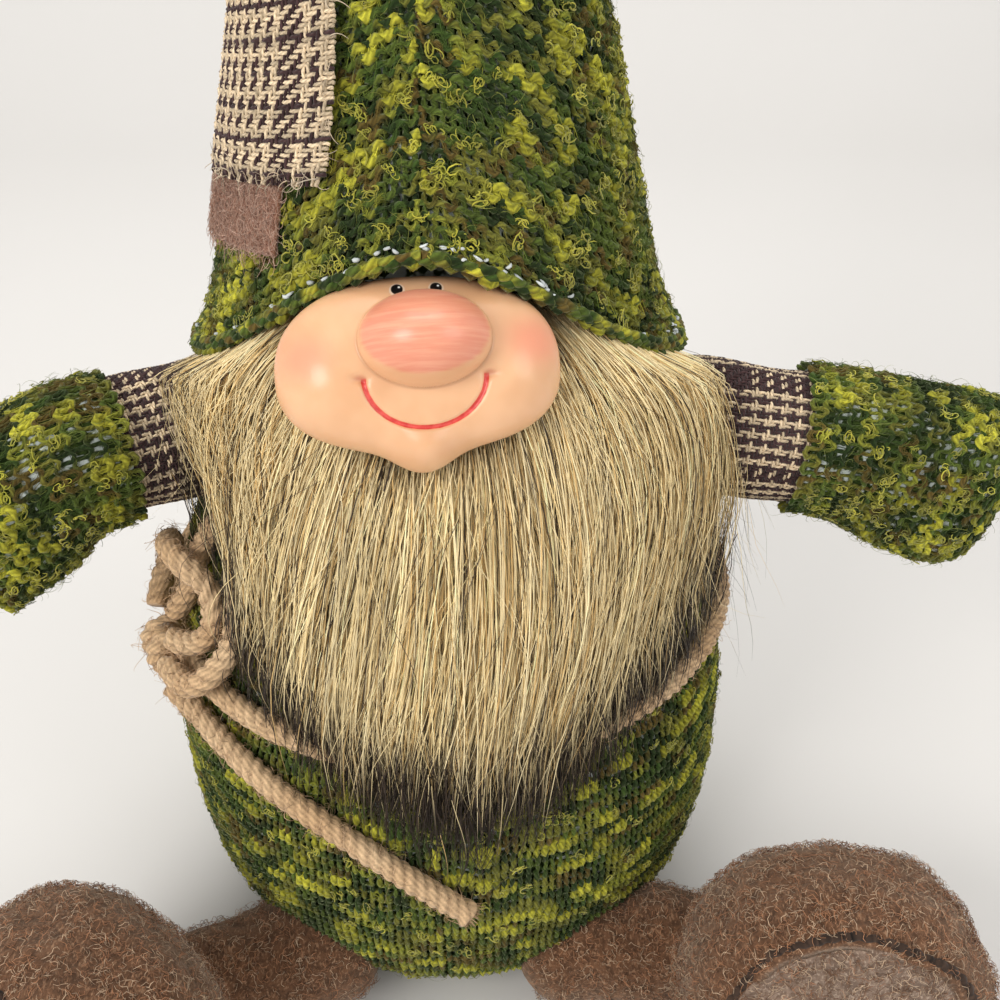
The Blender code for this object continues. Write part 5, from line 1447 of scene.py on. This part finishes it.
under = sheet_mesh("beard_underfur_painted_shade", lambda u, v, o: fur_surf(u, 1 - np.asarray(v), o), 0.03, 0.97, 0.0, 1.0, 90, 40, -0.2, 0.5, M_UNDERFUR_SHADE)
place(under, "trunk", "blond_fur", "beard_pile")
rng = np.random.default_rng(61)
strand_object("beard_hair_under", beard(rng, 3600, 8, low=(0.02, 0.62), span=(0.3, 0.5), thick=(0.15, 0.24), depth=(0.4, 0.7), clump=0.4), M_HAIR, "trunk")
strand_object("beard_hair_mid", beard(rng, 4800, 10, low=(0.0, 0.45), span=(0.45, 1.1), thick=(0.11, 0.18), depth=(0.55, 0.9)), M_HAIR, "trunk")
strand_object("beard_hair_top", beard(rng, 5200, 12, low=(0.0, 0.12), span=(0.75, 1.6), thick=(0.09, 0.15), depth=(0.78, 1.08), clump=0.8), M_HAIR, "trunk")
side_q = lambda rng, n: np.where(rng.uniform(size=n) < 0.66, rng.uniform(0.88, 1.0, n), rng.uniform(0.0, 0.12, n))
strand_object("beard_dark_tips", beard(rng, 2000, 8, low=(0.66, 0.84), span=(0.5, 0.9), thick=(0.07, 0.115), depth=(0.7, 1.15), clump=0.9, n_clump=120, dark=0.9, extra=9.0), M_HAIR, "trunk")
strand_object("beard_stray_hair", beard(rng, 190, 14, low=(0.0, 0.25), span=(0.7, 1.0), thick=(0.035, 0.06), depth=(0.7, 1.0), clump=0.0, stray=1.0, q_of=side_q, dark=0.55, wave=2.0), M_HAIR, "trunk")
strand_object("beard_loose_hair", beard(rng, 700, 12, low=(0.1, 0.5), span=(0.3, 0.8), thick=(0.04, 0.08), depth=(1.0, 1.25), clump=0.0, dark=0.35, wave=2.5), M_HAIR, "trunk")


# ------------------------------------------------------------------ floor and light
M_FLOOR = Mat("pale_floor", rough=0.75, spec=0.2)
M_FLOOR.colour(M_FLOOR.mix(M_FLOOR.noise(3.0, 2.0), (0.66, 0.645, 0.625), (0.69, 0.68, 0.665)))
me = bpy.data.meshes.new("floor")
pts, nprof = [], 40
prof = [(-1.6, 0.0)] + [(0.55 + 0.5 * math.sin(t), 0.5 - 0.5 * math.cos(t)) for t in np.linspace(0, PI / 2, 24)] + [(1.05, 2.4)]
vs, fs = [], []
for y, z in prof:
    vs += [(-2.2, y, z), (2.2, y, z)]
for i in range(len(prof) - 1):
    fs.append((2 * i, 2 * i + 1, 2 * i + 3, 2 * i + 2))
me.from_pydata(vs, [], fs)
me.shade_smooth()
me.materials.append(M_FLOOR.m)
floor = link(bpy.data.objects.new("floor", me))

world = bpy.data.worlds.new("studio")
scene.world = world
world.use_nodes = True
bg = world.node_tree.nodes["Background"]
bg.inputs[0].default_value = (1.0, 0.985, 0.965, 1)
bg.inputs[1].default_value = 0.66


def area(name, loc, target, size, power, colour=(1, 1, 1)):
    li = bpy.data.lights.new(name, "AREA")
    li.shape = "DISK"
    li.size = size
    li.energy = power
    li.color = colour
    ob = link(bpy.data.objects.new(name, li))
    ob.location = loc
    ob.rotation_euler = (Vector(target) - Vector(loc)).to_track_quat("-Z", "Y").to_euler()


area("key", (-0.75, -0.85, 0.75), (0, -0.02, 0.13), 0.75, 11.5, (1.0, 0.975, 0.945))
area("fill", (0.95, -0.55, 0.65), (0, 0, 0.12), 0.9, 4.6, (0.995, 0.985, 0.985))
area("top", (0.0, 0.25, 1.15), (0, 0, 0.15), 0.9, 6.0, (1.0, 0.99, 0.975))
scene.view_settings.view_transform = "Standard"
scene.view_settings.look = "None"
scene.view_settings.exposure = 0.0
